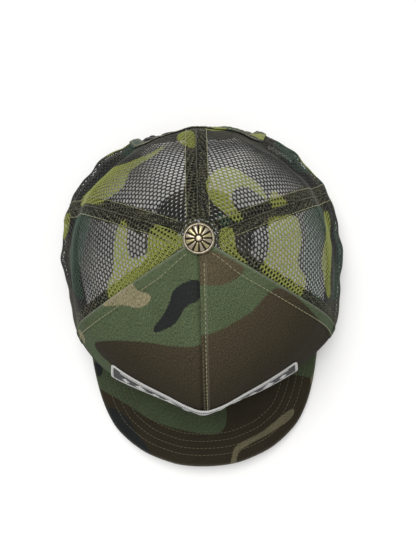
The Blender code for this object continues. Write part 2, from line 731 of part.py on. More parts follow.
if bm.faces[0].normal.y > 0:
    bmesh.ops.reverse_faces(bm, faces=bm.faces)
bm.to_mesh(border.data)
bm.free()
adopt(border, "patch_border", THREAD)
solid = border.modifiers.new("thickness", "SOLIDIFY")
solid.thickness = 1.5 * MM
solid.offset = 1.0

# ---------------------------------------------------------------- blank label sewn on the sweatband
lattice("inner_label", lambda s: panel_lines(2, 1, s)[3:6], ROWS[2:5], BAND_OFF - LAYER_GAP - 0.35, 0.35, LABEL)
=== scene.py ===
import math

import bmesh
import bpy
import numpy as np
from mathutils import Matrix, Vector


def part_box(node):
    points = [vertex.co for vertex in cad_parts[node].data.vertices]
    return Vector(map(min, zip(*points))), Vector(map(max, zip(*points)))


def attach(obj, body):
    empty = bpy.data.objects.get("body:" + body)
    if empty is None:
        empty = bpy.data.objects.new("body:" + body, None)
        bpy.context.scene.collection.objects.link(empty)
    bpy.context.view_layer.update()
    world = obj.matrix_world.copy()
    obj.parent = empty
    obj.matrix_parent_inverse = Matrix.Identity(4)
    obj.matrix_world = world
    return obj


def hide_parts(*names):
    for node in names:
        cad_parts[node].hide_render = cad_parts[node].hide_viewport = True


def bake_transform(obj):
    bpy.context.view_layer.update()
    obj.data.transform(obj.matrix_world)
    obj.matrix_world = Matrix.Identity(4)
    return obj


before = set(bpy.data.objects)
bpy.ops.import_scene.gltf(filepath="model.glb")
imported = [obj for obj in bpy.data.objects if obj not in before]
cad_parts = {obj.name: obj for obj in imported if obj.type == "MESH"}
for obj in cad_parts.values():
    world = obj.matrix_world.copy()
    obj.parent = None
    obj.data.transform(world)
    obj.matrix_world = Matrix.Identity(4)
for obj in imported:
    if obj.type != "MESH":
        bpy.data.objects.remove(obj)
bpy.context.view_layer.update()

# Looks of the trucker mesh cap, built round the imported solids.
#
# Lengths are in mm while a shape is worked out and in metres once it is a mesh.  The crown is a surface
# (azimuth phi, height s): phi is 0 at the front seam and grows to the right, s is 0 at the rim and 1 at
# the button.  Cloth coordinates (u, v) are mm across and up a panel, and carry weave and print.

MM = 0.001
BODY = "crown"

# ================================================================ the crown's shape, in mm
BUTTON_Y = 38.2
RIM_Z = 0.42
KEYS = np.array([0, 12, 25, 38, 54, 77, 97, 117, 140, 152, 166, 180], float)
MERIDIANS = np.array([
    [(99, 21), (106, 31), (111, 41), (113, 53), (113, 64), (111.5, 75.5), (107, 87), (92, 100.5), (64, 113), (30, 121.8), (0, 125)],
    [(100.5, 20), (105, 30), (107.8, 41), (107.5, 53), (106, 64), (103, 77.5), (98, 89), (84, 101.5), (58, 113.3), (28, 121.8), (0, 125)],
    [(102.5, 16), (106, 27), (107.5, 39), (106.5, 51), (103.5, 63), (98.5, 77.5), (92, 89), (77, 101.5), (54, 113), (26, 121.6), (0, 125)],
    [(103.4, 9.5), (107.8, 21), (109.6, 33), (108.2, 46), (104.5, 59.5), (98, 74.5), (90, 88), (74, 101), (52, 112.5), (25, 121.4), (0, 125)],
    [(103.2, 1.5), (109.3, 12), (111.2, 24), (109.3, 35.5), (104, 49), (97, 65), (89, 80.5), (73, 97), (50, 111), (24, 121), (0, 125)],
    [(99, 0), (103.2, 11), (104.2, 22), (100.8, 33), (94.8, 45), (90, 61.5), (83, 77.5), (68, 95.5), (47, 110), (23, 120.8), (0, 125)],
    [(97, 0), (101, 11), (102, 22), (98, 32), (90.5, 42.5), (86, 56.5), (80, 74.5), (66, 94), (46, 109.5), (22.5, 120.8), (0, 125)],
    [(94, 0), (98.5, 11), (99.5, 22), (95, 32), (87, 42), (83, 55.5), (78, 73.5), (65, 93), (45, 109.3), (22, 120.8), (0, 125)],
    [(90.5, 0), (94.5, 11), (95.5, 22), (90.5, 32), (81.5, 42), (77.5, 55.5), (73, 73.5), (62, 92.5), (44, 109), (22, 120.8), (0, 125)],
    [(87, 0), (91, 11), (92.5, 22), (89, 33), (83, 43), (77.5, 56), (72, 72.5), (61, 92), (43.5, 109), (22, 120.8), (0, 125)],
    [(84, 0), (87, 11), (88.3, 22), (87, 33), (83, 44), (78.3, 56.5), (72, 72.5), (60.5, 91.5), (43, 109), (22, 120.8), (0, 125)],
    [(83, 0), (85.3, 11), (86.6, 22), (86, 33), (83.2, 44), (78.8, 57), (72.5, 72.5), (60, 91), (43, 108.6), (22, 120.8), (0, 125)],
])
VISOR_CREST_Z, VISOR_SAG, VISOR_DROOP, VISOR_ROOT_Y = 19.4, 0.0022, 0.07, -59.8
VISOR_EDGE = np.array([(0, -125.2), (15, -124.4), (28.4, -121.6), (48.2, -113.4), (64.6, -100.4), (73.4, -87.8), (80.2, -69.8), (84.9, -46.3), (86.6, -25.8)])
SEAM_SIDE, SEAM_REAR = 54.5, {1: 112.0, -1: 105.0}
ARCH_HALF_W, ARCH_H, ARCH_POWER = 44.0, 50.0, 0.55


def hermite(xs, ys, x, start=None, end=None):
    """Smooth curve through (xs, ys); ys may have further columns. start and end set the end slopes."""
    xs, ys, x = np.asarray(xs, float), np.asarray(ys, float), np.asarray(x, float)
    n = len(xs)
    i = np.clip(np.searchsorted(xs, x, side="right") - 1, 0, n - 2)
    extra = (1,) * (ys.ndim - 1)
    h = (xs[1:] - xs[:-1]).reshape(-1, *extra)
    slope = (ys[1:] - ys[:-1]) / h
    m = np.empty_like(ys)
    m[0] = slope[0] if start is None else start
    m[-1] = slope[-1] if end is None else end
    m[1:-1] = (slope[:-1] * h[1:] + slope[1:] * h[:-1]) / (h[1:] + h[:-1])
    hh = (xs[1:] - xs[:-1])[i].reshape(*x.shape, *extra)
    t = ((x - xs[i]).reshape(*x.shape, *extra)) / hh
    return (2 * t**3 - 3 * t**2 + 1) * ys[i] + (t**3 - 2 * t**2 + t) * hh * m[i] + (3 * t**2 - 2 * t**3) * ys[i + 1] + (t**3 - t**2) * hh * m[i + 1]


def step(a, b, x):
    t = np.clip((np.asarray(x, float) - a) / (b - a), 0, 1)
    return t * t * (3 - 2 * t)


def bump(x, centre, width):
    return np.exp(-(((np.asarray(x, float) - centre) / width) ** 2))


def visor_z(x, y):
    return VISOR_CREST_Z - VISOR_SAG * x * x + VISOR_DROOP * (y - VISOR_ROOT_Y)


# The crown's profile on a fine grid of azimuth and height, which every piece reads.
GRID_PHI = np.arange(0, 180.01, 0.5)
GRID_S = np.arange(-0.08, 1.0001, 0.004)


def _profiles():
    rings = np.stack([hermite(KEYS, MERIDIANS[:, k, :], GRID_PHI, end=0.0) for k in range(11)], 0)
    r0, z0 = rings[0, :, 0], rings[0, :, 1]
    t = np.radians(GRID_PHI)
    top = visor_z(r0 * np.sin(t), BUTTON_Y - r0 * np.cos(t)) + 0.9 + 0.9 + 0.3 + 1.15 - RIM_Z
    lift = np.where(GRID_PHI <= 84, (top - z0) * (1 - step(SEAM_SIDE + 1.0, 84.0, GRID_PHI)), 0.0)
    inside = np.clip(GRID_S, 0, 1)
    # The height's slope is level at the top; the reach's isn't.
    r = hermite(np.arange(11), rings[:, :, 0], inside * 10)
    z = hermite(np.arange(11), rings[:, :, 1], inside * 10, end=0.0)
    z = z + lift[None, :] * np.where(inside < 0.35, (1 - inside / 0.35) ** 2, 0)[:, None]
    below = GRID_S < 0
    i0, i1 = np.argmin(abs(GRID_S)), np.argmin(abs(GRID_S - 0.02))
    k = (GRID_S[below] / (GRID_S[i1] - GRID_S[i0]))[:, None]
    r[below] = r[i0] + (r[i1] - r[i0]) * k
    z[below] = z[i0] + (z[i1] - z[i0]) * k
    return r, z + RIM_Z


PROFILE_R, PROFILE_Z = _profiles()


def lookup(table, phi, s):
    a = np.abs(((np.asarray(phi, float) + 180) % 360) - 180)
    x = np.clip(a / 0.5, 0, len(GRID_PHI) - 1.001)
    y = np.clip((np.asarray(s, float) - GRID_S[0]) / 0.004, 0, len(GRID_S) - 1.001)
    i, j = x.astype(int), y.astype(int)
    u, v = x - i, y - j
    return (table[j, i] * (1 - u) + table[j, i + 1] * u) * (1 - v) + (table[j + 1, i] * (1 - u) + table[j + 1, i + 1] * u) * v


def seam(which, s):
    """Azimuth of a seam: 0 front, 1 front side, 2 rear side, 3 back; negative on the left."""
    k, sign = abs(which), (1 if which >= 0 else -1)
    if k == 0:
        return np.zeros_like(np.asarray(s, float))
    if k == 1:
        return sign * (SEAM_SIDE + 4.0 * step(0.0, 0.5, s))
    if k == 2:
        low = SEAM_REAR[sign]
        return sign * (low + (110.5 - low) * step(0.0, 0.6, s))
    return sign * 180.0 + np.zeros_like(np.asarray(s, float))


def drape(phi, s):
    """How far the cloth stands out from the ideal crown: the cap isn't quite symmetric, and its soft
    net falls in slow folds that die out towards the seams, the rim and the top."""
    p = ((phi + 180) % 360) - 180
    a = np.abs(p)
    low = 1 - step(0.30, 0.62, s)
    out = -3.6 * bump(p, -70, 17) * low + 2.6 * bump(p, 56, 11) * (1 - step(0.22, 0.5, s))
    soft = step(60, 74, a)
    hang = bump(s, 0.27, 0.17) * soft
    t = np.radians(p)
    out = out + hang * (0.75 * np.sin(13 * t + 1.1 + 2.2 * s) + 0.55 * np.sin(23 * t - 0.6 - 3.0 * s) + 0.3 * np.sin(41 * t + 5 * s))
    out = out + 0.35 * bump(s, 0.55, 0.2) * np.sin(17 * t + 9 * s) * soft
    # the net over the rear opening is twisted: it sinks on the left and stands out on the right
    back = np.asarray(phi, float) % 360 - 180
    edge = step(0.14, 0.25, s) * (1 - step(0.33, 0.6, s))
    out = out + edge * (2.8 * bump(back, -20, 9) - 4.0 * bump(back, 15, 14))
    out = out - 2.0 * bump(back, 37, 8) * (1 - step(0.22, 0.5, s))
    front = (1 - step(50, 60, a)) * bump(s, 0.5, 0.3)
    out = out - 1.5 * bump(p, 0, 4.2) * step(0.16, 0.34, s) * (1 - step(0.78, 0.92, s))
    return out + front * (0.45 * np.sin(p / 7.5 + 6 * s + 0.4) * np.sin(8 * s + p / 21) + 0.25 * np.sin(p / 4.1 - 9 * s))


def base(phi, s):
    r = lookup(PROFILE_R, phi, s) + drape(phi, s) * (1 - step(0.8, 0.97, s))
    z = lookup(PROFILE_Z, phi, s)
    # the centre seam is sewn a little to the left of the middle
    t = np.radians(phi - 0.85 * bump(((phi + 180) % 360) - 180, 0, 20))
    return np.stack([r * np.sin(t), BUTTON_Y - r * np.cos(t), z], -1)


def unit(v):
    return v / np.maximum(np.linalg.norm(v, axis=-1, keepdims=True), 1e-9)


def normal(phi, s, side=0, dphi=0.6):
    """Outward normal. With a side, the front ridge is seen from that side only."""
    phi, s = np.broadcast_arrays(np.asarray(phi, float), np.asarray(s, float))
    a, b = phi - dphi, phi + dphi
    if side > 0:
        a, b = np.maximum(a, 0.001), np.maximum(b, 0.6)
    elif side < 0:
        a, b = np.minimum(a, -0.6), np.minimum(b, -0.001)
    s = np.minimum(s, 0.985)
    return unit(np.cross(base(b, s) - base(a, s), base(phi, s + 0.006) - base(phi, s - 0.006)))


def crown(phi, s, off=0.0, side=0, dphi=0.6):
    phi, s = np.broadcast_arrays(np.asarray(phi, float), np.asarray(s, float))
    off = np.asarray(off, float) * np.ones_like(phi)
    return base(phi, s) + normal(phi, s, side, dphi) * off[..., None]


def arc_table(phi):
    s = np.arange(0, 1.0001, 0.004)
    p = base(np.full_like(s, phi), s)
    return s, np.concatenate([[0], np.cumsum(np.linalg.norm(np.diff(p, axis=0), axis=1))])


# centre azimuth for u, azimuth of the meridian that v runs along, and the seams on both sides
PANELS = {
    "front_right": (0, 27, 0, 1), "front_left": (0, -27, -1, 0),
    "side_right": (83, 83, 1, 2), "side_left": (-80, -80, -2, -1),
    "back_right": (146, 146, 2, 3), "back_left": (-143, -143, -3, -2),
}


def cloth_uv(panel, phi, s):
    c, mid = PANELS[panel][:2]
    ss, arc = arc_table(mid)
    return np.radians(phi - c) * lookup(PROFILE_R, phi, s), np.interp(s, ss, arc)


def cloth_place(panel, u, v):
    c, mid = PANELS[panel][:2]
    ss, arc = arc_table(mid)
    s = np.interp(v, arc, ss)
    phi = np.full_like(np.asarray(u, float), float(c))
    for _ in range(6):
        r = np.maximum(lookup(PROFILE_R, phi, s), 1.0)
        phi = np.clip(c + np.degrees(u / r), c - 75, c + 75)
    return phi, s


def back_place(x, z):
    """Azimuth and height of the point of the crown's back at sideways position x and height z."""
    x, z = np.asarray(x, float), np.asarray(z, float)
    lo, hi = np.full_like(x, 90.0), np.full_like(x, 180.0)

    def height(phi):
        a, b = np.full_like(phi, -0.02), np.full_like(phi, 0.9)
        for _ in range(15):
            m = (a + b) / 2
            low = lookup(PROFILE_Z, phi, m) < z
            a, b = np.where(low, m, a), np.where(low, b, m)
        return (a + b) / 2

    for _ in range(17):
        mid = (lo + hi) / 2
        s = height(mid)
        far = lookup(PROFILE_R, mid, s) * np.sin(np.radians(mid)) > np.abs(x)
        lo, hi = np.where(far, mid, lo), np.where(far, hi, mid)
    phi = (lo + hi) / 2
    return np.where(x < 0, -phi, phi), height(phi)


# ================================================================ mesh making
def make(name, co, faces, material, smooth=True, sharp=None, data=None, flip=False):
    """A mesh object from points in mm and lists of faces, with float or vector point data."""
    mesh = bpy.data.meshes.new(name)
    groups = [np.asarray(f, np.int64) for f in faces if len(f)]
    if flip:
        groups = [g[:, ::-1] for g in groups]
    co = np.asarray(co, float).reshape(-1, 3) * MM
    mesh.vertices.add(len(co))
    mesh.vertices.foreach_set("co", co.ravel().astype(np.float32))
    loops = np.concatenate([g.ravel() for g in groups])
    sizes = np.concatenate([np.full(len(g), g.shape[1]) for g in groups])
    mesh.loops.add(len(loops))
    mesh.loops.foreach_set("vertex_index", loops.astype(np.int32))
    mesh.polygons.add(len(sizes))
    mesh.polygons.foreach_set("loop_start", np.concatenate([[0], np.cumsum(sizes)[:-1]]).astype(np.int32))
    mesh.update(calc_edges=True)
    mesh.validate()
    for key, values in (data or {}).items():
        values = np.asarray(values, np.float32)
        kind = "FLOAT_VECTOR" if values.ndim == 2 else "FLOAT"
        layer = mesh.attributes.new(key, kind, "POINT")
        layer.data.foreach_set("vector" if values.ndim == 2 else "value", values.ravel())
    obj = bpy.data.objects.new(name, mesh)
    bpy.context.scene.collection.objects.link(obj)
    mesh.materials.append(material)
    if smooth:
        mesh.shade_smooth()
        if sharp:
            mesh.set_sharp_from_angle(angle=math.radians(sharp))
    return obj


def grid_faces(rows, cols, start=0, wrap=False):
    i = np.arange(rows - 1)[:, None] * cols
    j = np.arange(cols if wrap else cols - 1)[None, :]
    k = (j + 1) % cols
    a = i + j
    return np.stack([a, i + k, i + cols + k, i + cols + j], -1).reshape(-1, 4) + start


def closed_sheet(outer, inner, rim=None):
    """Points and faces of a sheet: outer and inner are rows x columns grids, joined round the border,
    by way of a ring rim of points (first row, last column, last row back, first column back)."""
    rows, cols = outer.shape[:2]
    n = rows * cols
    border = np.concatenate([np.arange(cols), np.arange(1, rows) * cols + cols - 1, (rows - 1) * cols + np.arange(cols - 2, -1, -1), np.arange(rows - 2, 0, -1) * cols])
    co = np.concatenate([outer.reshape(-1, 3), inner.reshape(-1, 3)])
    faces = [grid_faces(rows, cols), grid_faces(rows, cols)[:, ::-1] + n]
    nxt = np.roll(border, -1)
    if rim is None:
        faces.append(np.stack([nxt, border, border + n, nxt + n], -1))
    else:
        start = len(co)
        co = np.concatenate([co, rim])
        k = np.arange(len(border))
        faces.append(np.stack([nxt, border, start + k, start + np.roll(k, -1)], -1))
        faces.append(np.stack([start + np.roll(k, -1), start + k, border + n, nxt + n], -1))
    return co, faces


def both(values):
    values = np.asarray(values)
    flat = values.reshape(-1, values.shape[-1]) if values.ndim == 3 else values.ravel()
    return np.concatenate([flat, flat])


def resample(path, gap):
    """Points along a polyline every gap mm, and the share of the path at each."""
    d = np.concatenate([[0], np.cumsum(np.linalg.norm(np.diff(path, axis=0), axis=1))])
    n = max(2, int(round(d[-1] / gap)) + 1)
    q = np.linspace(0, d[-1], n)
    return np.stack([np.interp(q, d, path[:, k]) for k in range(3)], -1)


def along(points, normals, pitch):
    """Resamples a path and its normals at an even pitch."""
    d = np.concatenate([[0], np.cumsum(np.linalg.norm(np.diff(points, axis=0), axis=1))])
    n = max(2, int(d[-1] / pitch) + 1)
    q = np.linspace(0, d[-1], n)
    p = np.stack([np.interp(q, d, points[:, k]) for k in range(3)], -1)
    m = unit(np.stack([np.interp(q, d, normals[:, k]) for k in range(3)], -1))
    return p, m


THREADS = {}


def stitches(name, points, normals, material, pitch=3.2, share=0.8, radius=0.24, sink=0.28, height=0.1, lean=0.0):
    """A row of sewn stitches: each one a short rounded thread that dives into the cloth at both ends."""
    p, m = along(points, normals, pitch)
    a, b, n = p[:-1], p[1:], unit(m[:-1] + m[1:])
    t = unit(b - a)
    side = unit(np.cross(t, n))
    mid = (a + b) / 2
    half = np.linalg.norm(b - a, axis=1, keepdims=True) / 2 * share
    rings = []
    for f, r, h in ((-1.0, 0.45, -sink), (-0.86, 0.9, -0.02), (-0.45, 1.0, height), (0.45, 1.0, height), (0.86, 0.9, -0.02), (1.0, 0.45, -sink)):
        centre = mid + t * half * f + n * h + side * (lean * f)
        for k in range(6):
            w = 2 * math.pi * k / 6
            rings.append(centre + (side * math.cos(w) + n * math.sin(w)) * radius * r)
    co = np.stack(rings, 1)                      # stitch, 36 points, 3
    count = len(co)
    one = grid_faces(6, 6, wrap=True)
    quads = (one[None] + (np.arange(count) * 36)[:, None, None]).reshape(-1, 4)
    caps = np.array([[5, 4, 3, 2], [5, 2, 1, 0], [30, 31, 32, 33], [30, 33, 34, 35]])
    caps = (caps[None] + (np.arange(count) * 36)[:, None, None]).reshape(-1, 4)
    made = THREADS.setdefault(name, {"co": [], "faces": [], "n": 0, "material": material})
    made["co"].append(co.reshape(-1, 3))
    made["faces"].append(np.concatenate([quads, caps]) + made["n"])
    made["n"] += count * 36


def seam_row(name, phi, s, off, material, **k):
    phi, s = np.broadcast_arrays(np.asarray(phi, float), np.asarray(s, float))
    stitches(name, crown(phi, s, off), normal(phi, s), material, **k)


def sweep(points, normals, profile, closed=False):
    """A tube of the given cross-section (across, out) swept along a path; profile may vary per point."""
    if closed:
        t = unit(np.roll(points, -1, 0) - np.roll(points, 1, 0))
    else:
        t = unit(np.gradient(points, axis=0))
    n = unit(normals - t * (normals * t).sum(-1, keepdims=True))
    side = np.cross(t, n)
    profile = np.broadcast_to(np.asarray(profile, float), (len(points), *np.shape(profile)[-2:]))
    co = points[:, None] + side[:, None] * profile[..., 0:1] + n[:, None] * profile[..., 1:2]
    rows, cols = co.shape[:2]
    faces = [grid_faces(rows, cols, wrap=True)]
    if closed:
        j = np.arange(cols)
        last = (rows - 1) * cols
        faces.append(np.stack([last + j, last + (j + 1) % cols, (j + 1) % cols, j], -1))
    else:
        faces += [np.arange(cols)[None, ::-1], (np.arange(cols) + (rows - 1) * cols)[None]]
    return co.reshape(-1, 3), faces


def ellipse(a, b, n=12, power=1.0):
    w = np.arange(n) * 2 * math.pi / n
    c, s = np.cos(w), np.sin(w)
    return np.stack([a * np.sign(c) * np.abs(c) ** power, b * np.sign(s) * np.abs(s) ** power], -1)


def smooth_polygon(points, rounds=2):
    p = np.asarray(points, float)
    for _ in range(rounds):
        q = np.roll(p, -1, 0)
        p = np.stack([p * 0.75 + q * 0.25, p * 0.25 + q * 0.75], 1).reshape(-1, 2)
    return p


def inside_distance(polygons, u, v):
    """Signed distance in mm to a set of blobs, positive inside."""
    best = np.full(np.shape(u), -60.0)
    for poly in polygons:
        p = smooth_polygon(poly)
        q = np.roll(p, -1, 0)
        near = np.full(np.shape(u), 1e9)
        odd = np.zeros(np.shape(u), bool)
        for (x0, y0), (x1, y1) in zip(p, q):
            dx, dy = x1 - x0, y1 - y0
            k = np.clip(((u - x0) * dx + (v - y0) * dy) / (dx * dx + dy * dy + 1e-12), 0, 1)
            near = np.minimum(near, (u - x0 - k * dx) ** 2 + (v - y0 - k * dy) ** 2)
            if y0 != y1:
                odd ^= ((y0 > v) != (y1 > v)) & (u < (x1 - x0) * (v - y0) / (y1 - y0) + x0)
        best = np.maximum(best, np.where(odd, 1, -1) * np.sqrt(near))
    return best


def drift(u, v, seed, size=24.0):
    """A smooth field of soft blobs, in mm, for cloth that no drawn blob covers."""
    a, b = u / size, v / size
    f = np.sin(a * 1.7 + seed * 1.3 + 0.9 * np.sin(b * 1.3 + seed)) * np.cos(b * 1.5 - seed * 0.7 + 0.8 * np.sin(a * 1.1 - seed * 2.1))
    f = f + 0.42 * np.sin(a * 3.1 - b * 2.3 + seed * 3.7) + 0.25 * np.sin(a * 5.3 + b * 4.1 + seed * 5.1)
    return f * size * 0.42


# ================================================================ materials
class Look:
    """Builds one node material round a Principled shader."""

    def __init__(self, name, rough=0.8, **sockets):
        self.m = bpy.data.materials.new(name)
        self.m.use_nodes = True
        self.t = self.m.node_tree
        self.t.nodes.clear()
        self.out = self.t.nodes.new("ShaderNodeOutputMaterial")
        self.b = self.t.nodes.new("ShaderNodeBsdfPrincipled")
        self.t.links.new(self.b.outputs[0], self.out.inputs[0])
        self.b.inputs["Roughness"].default_value = rough
        for k, v in sockets.items():
            self.b.inputs[k.replace("_", " ")].default_value = v

    def put(self, socket, value):
        if hasattr(value, "is_output"):
            self.t.links.new(value, socket)
        elif isinstance(value, tuple) and len(value) == 3 and socket.type == "RGBA":
            socket.default_value = (*value, 1)
        else:
            socket.default_value = value

    def math(self, op, a, b=0.0, c=0.0, clamp=False):
        n = self.t.nodes.new("ShaderNodeMath")
        n.operation = op
        n.use_clamp = clamp
        for s, v in zip(n.inputs, (a, b, c)):
            self.put(s, v)
        return n.outputs[0]

    def add(self, *terms):
        total = terms[0]
        for x in terms[1:]:
            total = self.math("ADD", total, x)
        return total

    def mul(self, a, b):
        return self.math("MULTIPLY", a, b)

    def ease(self, x, lo, hi, a=0.0, b=1.0):
        n = self.t.nodes.new("ShaderNodeMapRange")
        n.interpolation_type = "SMOOTHSTEP"
        for s, v in zip(n.inputs, (x, lo, hi, a, b)):
            self.put(s, v)
        return n.outputs[0]

    def mix(self, fac, a, b, blend="MIX"):
        n = self.t.nodes.new("ShaderNodeMix")
        n.data_type = "RGBA"
        n.blend_type = blend
        n.clamp_factor = True
        for s, v in ((n.inputs["Factor"], fac), (n.inputs[6], a), (n.inputs[7], b)):
            self.put(s, v)
        return n.outputs[2]

    def data(self, name, vector=False):
        n = self.t.nodes.new("ShaderNodeAttribute")
        n.attribute_name = name
        return n.outputs["Vector" if vector else "Fac"]

    def object(self):
        return self.t.nodes.new("ShaderNodeTexCoord").outputs["Object"]

    def split(self, v):
        n = self.t.nodes.new("ShaderNodeSeparateXYZ")
        self.put(n.inputs[0], v)
        return n.outputs

    def join(self, x, y, z=0.0):
        n = self.t.nodes.new("ShaderNodeCombineXYZ")
        for s, v in zip(n.inputs, (x, y, z)):
            self.put(s, v)
        return n.outputs[0]

    def noise(self, vec, scale, detail=2.0, rough=0.5, colour=False):
        n = self.t.nodes.new("ShaderNodeTexNoise")
        self.put(n.inputs["Vector"], vec)
        n.inputs["Scale"].default_value = scale
        n.inputs["Detail"].default_value = detail
        n.inputs["Roughness"].default_value = rough
        return n.outputs["Color" if colour else "Fac"]

    def wave(self, x, period, phase=0.0):
        """A sine of x in mm, from 0 to 1."""
        return self.math("MULTIPLY_ADD", self.math("SINE", self.math("MULTIPLY_ADD", x, 2 * math.pi / period, phase)), 0.5, 0.5)

    def bump(self, height, strength=0.4, distance=0.0002, normal=None):
        n = self.t.nodes.new("ShaderNodeBump")
        n.inputs["Strength"].default_value = strength
        n.inputs["Distance"].default_value = distance
        self.put(n.inputs["Height"], height)
        if normal is not None:
            self.put(n.inputs["Normal"], normal)
        return n.outputs[0]

    def done(self, colour, rough=None, normal=None):
        self.put(self.b.inputs["Base Color"], colour)
        if rough is not None:
            self.put(self.b.inputs["Roughness"], rough)
        if normal is not None:
            self.put(self.b.inputs["Normal"], normal)
        return self.m


def srgb(r, g, b, gain=1.0):
    return tuple(min(0.95, gain * ((c / 255 / 12.92) if c / 255 <= 0.04045 else ((c / 255 + 0.055) / 1.055) ** 2.4)) for c in (r, g, b))


GREEN, BROWN, TAN, INK = srgb(91, 104, 76), srgb(53, 47, 35), srgb(154, 146, 115), srgb(43, 46, 46)
LIME, BOTTLE, EARTH, PITCH = srgb(139, 146, 62), srgb(30, 60, 43), srgb(44, 42, 31), srgb(19, 20, 16)


def camo_twill(name, gain=1.0, green=GREEN, brown=BROWN, tan=TAN):
    """Printed cotton twill: green ground, then brown, tan and black blobs with slightly bled edges."""
    k = Look(name, 0.86, Sheen_Weight=0.0, Specular_IOR_Level=0.06)
    fab = k.data("fabric", True)
    u, v, w = k.split(fab)[:3]
    bleed = k.math("MULTIPLY_ADD", k.noise(fab, 1.1, 3.0, 0.6), 1.7, -0.85)
    colour = k.mix(k.ease(k.noise(fab, 0.045, 3.0), 0.35, 0.7), green, tuple(c * 0.88 for c in green))
    for key, tone in (("brown", brown), ("tan", tan), ("ink", INK)):
        d = k.add(k.data(key), bleed)
        tone = k.mix(k.ease(k.noise(fab, 0.06, 2.0), 0.3, 0.75), tone, tuple(c * 0.87 for c in tone))
        # painted top light: the brown is made lighter towards the top of the crown
        if key == "brown":
            tone = k.mix(k.data("painted_top_light"), tone, tuple(c * 3.1 for c in brown))
        colour = k.mix(k.ease(d, -0.28, 0.28), colour, tone)
    # single threads take the dye unevenly, so the cloth has a fine salt and pepper grain
    warp = k.wave(k.math("MULTIPLY_ADD", v, 0.62, u), 0.62)
    weft = k.wave(k.math("MULTIPLY_ADD", u, -0.35, v), 0.5)
    across, along_ = k.math("MULTIPLY_ADD", v, 0.62, u), k.math("MULTIPLY_ADD", u, -0.62, v)
    fleck = k.noise(k.join(k.mul(across, 1.7), k.mul(along_, 0.75)), 1.0, 2.0, 0.7)
    pale = k.noise(k.join(k.mul(across, 1.9), k.mul(along_, 0.8), 4.0), 1.0, 2.0, 0.65)
    colour = k.mix(k.ease(fleck, 0.40, 0.64, 0.0, 1.0), colour, k.mix(0.66, colour, (0.012, 0.012, 0.01)))
    colour = k.mix(k.ease(pale, 0.50, 0.70, 0.0, 0.8), colour, k.mix(1.0, colour, (1.6, 1.6, 1.5), "MULTIPLY"))
    colour = k.mix(k.ease(warp, 0.0, 0.5, 0.3, 0.0), colour, k.mix(0.7, colour, (0.01, 0.01, 0.01)))
    # painted light: the top of the crown is lighter and the lower crown and the visor darker, as if lit from above
    colour = k.mix(1.0, colour, k.mix(k.data("painted_top_light"), (0.88 * gain, 0.88 * gain, 0.90 * gain), (1.05 * gain, 1.05 * gain, 1.03 * gain)), "MULTIPLY")
    # painted highlight: folded edges and the rim are a little paler
    colour = k.mix(k.mul(k.data("painted_edge_highlight"), 0.16), colour, (0.42 * gain, 0.41 * gain, 0.36 * gain))
    height = k.add(k.mul(warp, 0.7), k.mul(weft, 0.3), k.mul(fleck, 0.8))
    fuzz = k.noise(fab, 0.5, 4.0, 0.65)
    n = k.bump(height, 0.55, 0.00016)
    n = k.bump(fuzz, 0.14, 0.0004, n)
    return k.done(colour, k.math("MULTIPLY_ADD", fleck, 0.14, 0.8), n)


def camo_net(name, gain=1.0):
    """Printed polyester net yarn: near-black and brown ground, lime and bottle green blobs."""
    k = Look(name, 0.55, Specular_IOR_Level=0.4)
    fab = k.data("fabric", True)
    bleed = k.math("MULTIPLY_ADD", k.noise(fab, 0.9, 3.0, 0.6), 2.6, -1.3)
    colour = k.mix(k.ease(k.add(k.data("earth"), bleed), -0.5, 0.5), tuple(c * gain for c in PITCH), tuple(c * gain for c in EARTH))
    colour = k.mix(k.ease(k.add(k.data("bottle"), bleed), -0.5, 0.5), colour, tuple(c * gain for c in BOTTLE))
    colour = k.mix(k.ease(k.add(k.data("lime"), bleed), -0.35, 0.35), colour, tuple(c * gain for c in LIME))
    # the filaments of each yarn catch the dye unevenly
    spot = k.noise(fab, 1.6, 3.0, 0.7)
    colour = k.mix(k.ease(spot, 0.42, 0.66, 0.0, 0.75), colour, k.mix(0.7, colour, (0.012, 0.013, 0.009)))
    # stray pale filaments, thickest where the layers are sewn together
    stray = k.ease(k.noise(fab, 1.05, 3.0, 0.62), 0.50, 0.64)
    colour = k.mix(k.mul(stray, k.math("MULTIPLY_ADD", k.data("tangle"), 0.62, 0.14)), colour, (0.23, 0.235, 0.13))
    u, v, w = k.split(fab)[:3]
    height = k.add(k.wave(k.math("MULTIPLY_ADD", u, 0.8, v), 0.42), k.mul(k.noise(fab, 3.0, 2.0), 0.8))
    return k.done(colour, k.ease(spot, 0.2, 0.8, 0.42, 0.66), k.bump(height, 0.6, 0.00012))


def woven(name, tone, other, pitch=0.55, rough=0.9, strength=0.5, sheen=0.1, mottle=0.12):
    """Plain weave from the cloth coordinates."""
    k = Look(name, rough, Sheen_Weight=sheen, Specular_IOR_Level=0.3)
    fab = k.data("fabric", True)
    u, v, w = k.split(fab)[:3]
    a, b = k.wave(u, pitch), k.wave(v, pitch)
    over = k.math("MULTIPLY", k.math("SUBTRACT", a, 0.5), k.math("SUBTRACT", b, 0.5))
    weave = k.math("MULTIPLY_ADD", over, 2.0, 0.5)
    spot = k.noise(fab, 0.7, 4.0, 0.65)
    colour = k.mix(k.ease(weave, 0.15, 0.85), other, tone)
    colour = k.mix(k.ease(spot, 0.4, 0.75, 0.0, mottle * 2), colour, k.mix(0.6, colour, other))
    return k.done(colour, k.math("MULTIPLY_ADD", spot, 0.12, rough - 0.06), k.bump(k.add(weave, k.mul(spot, 0.5)), strength, 0.00018))


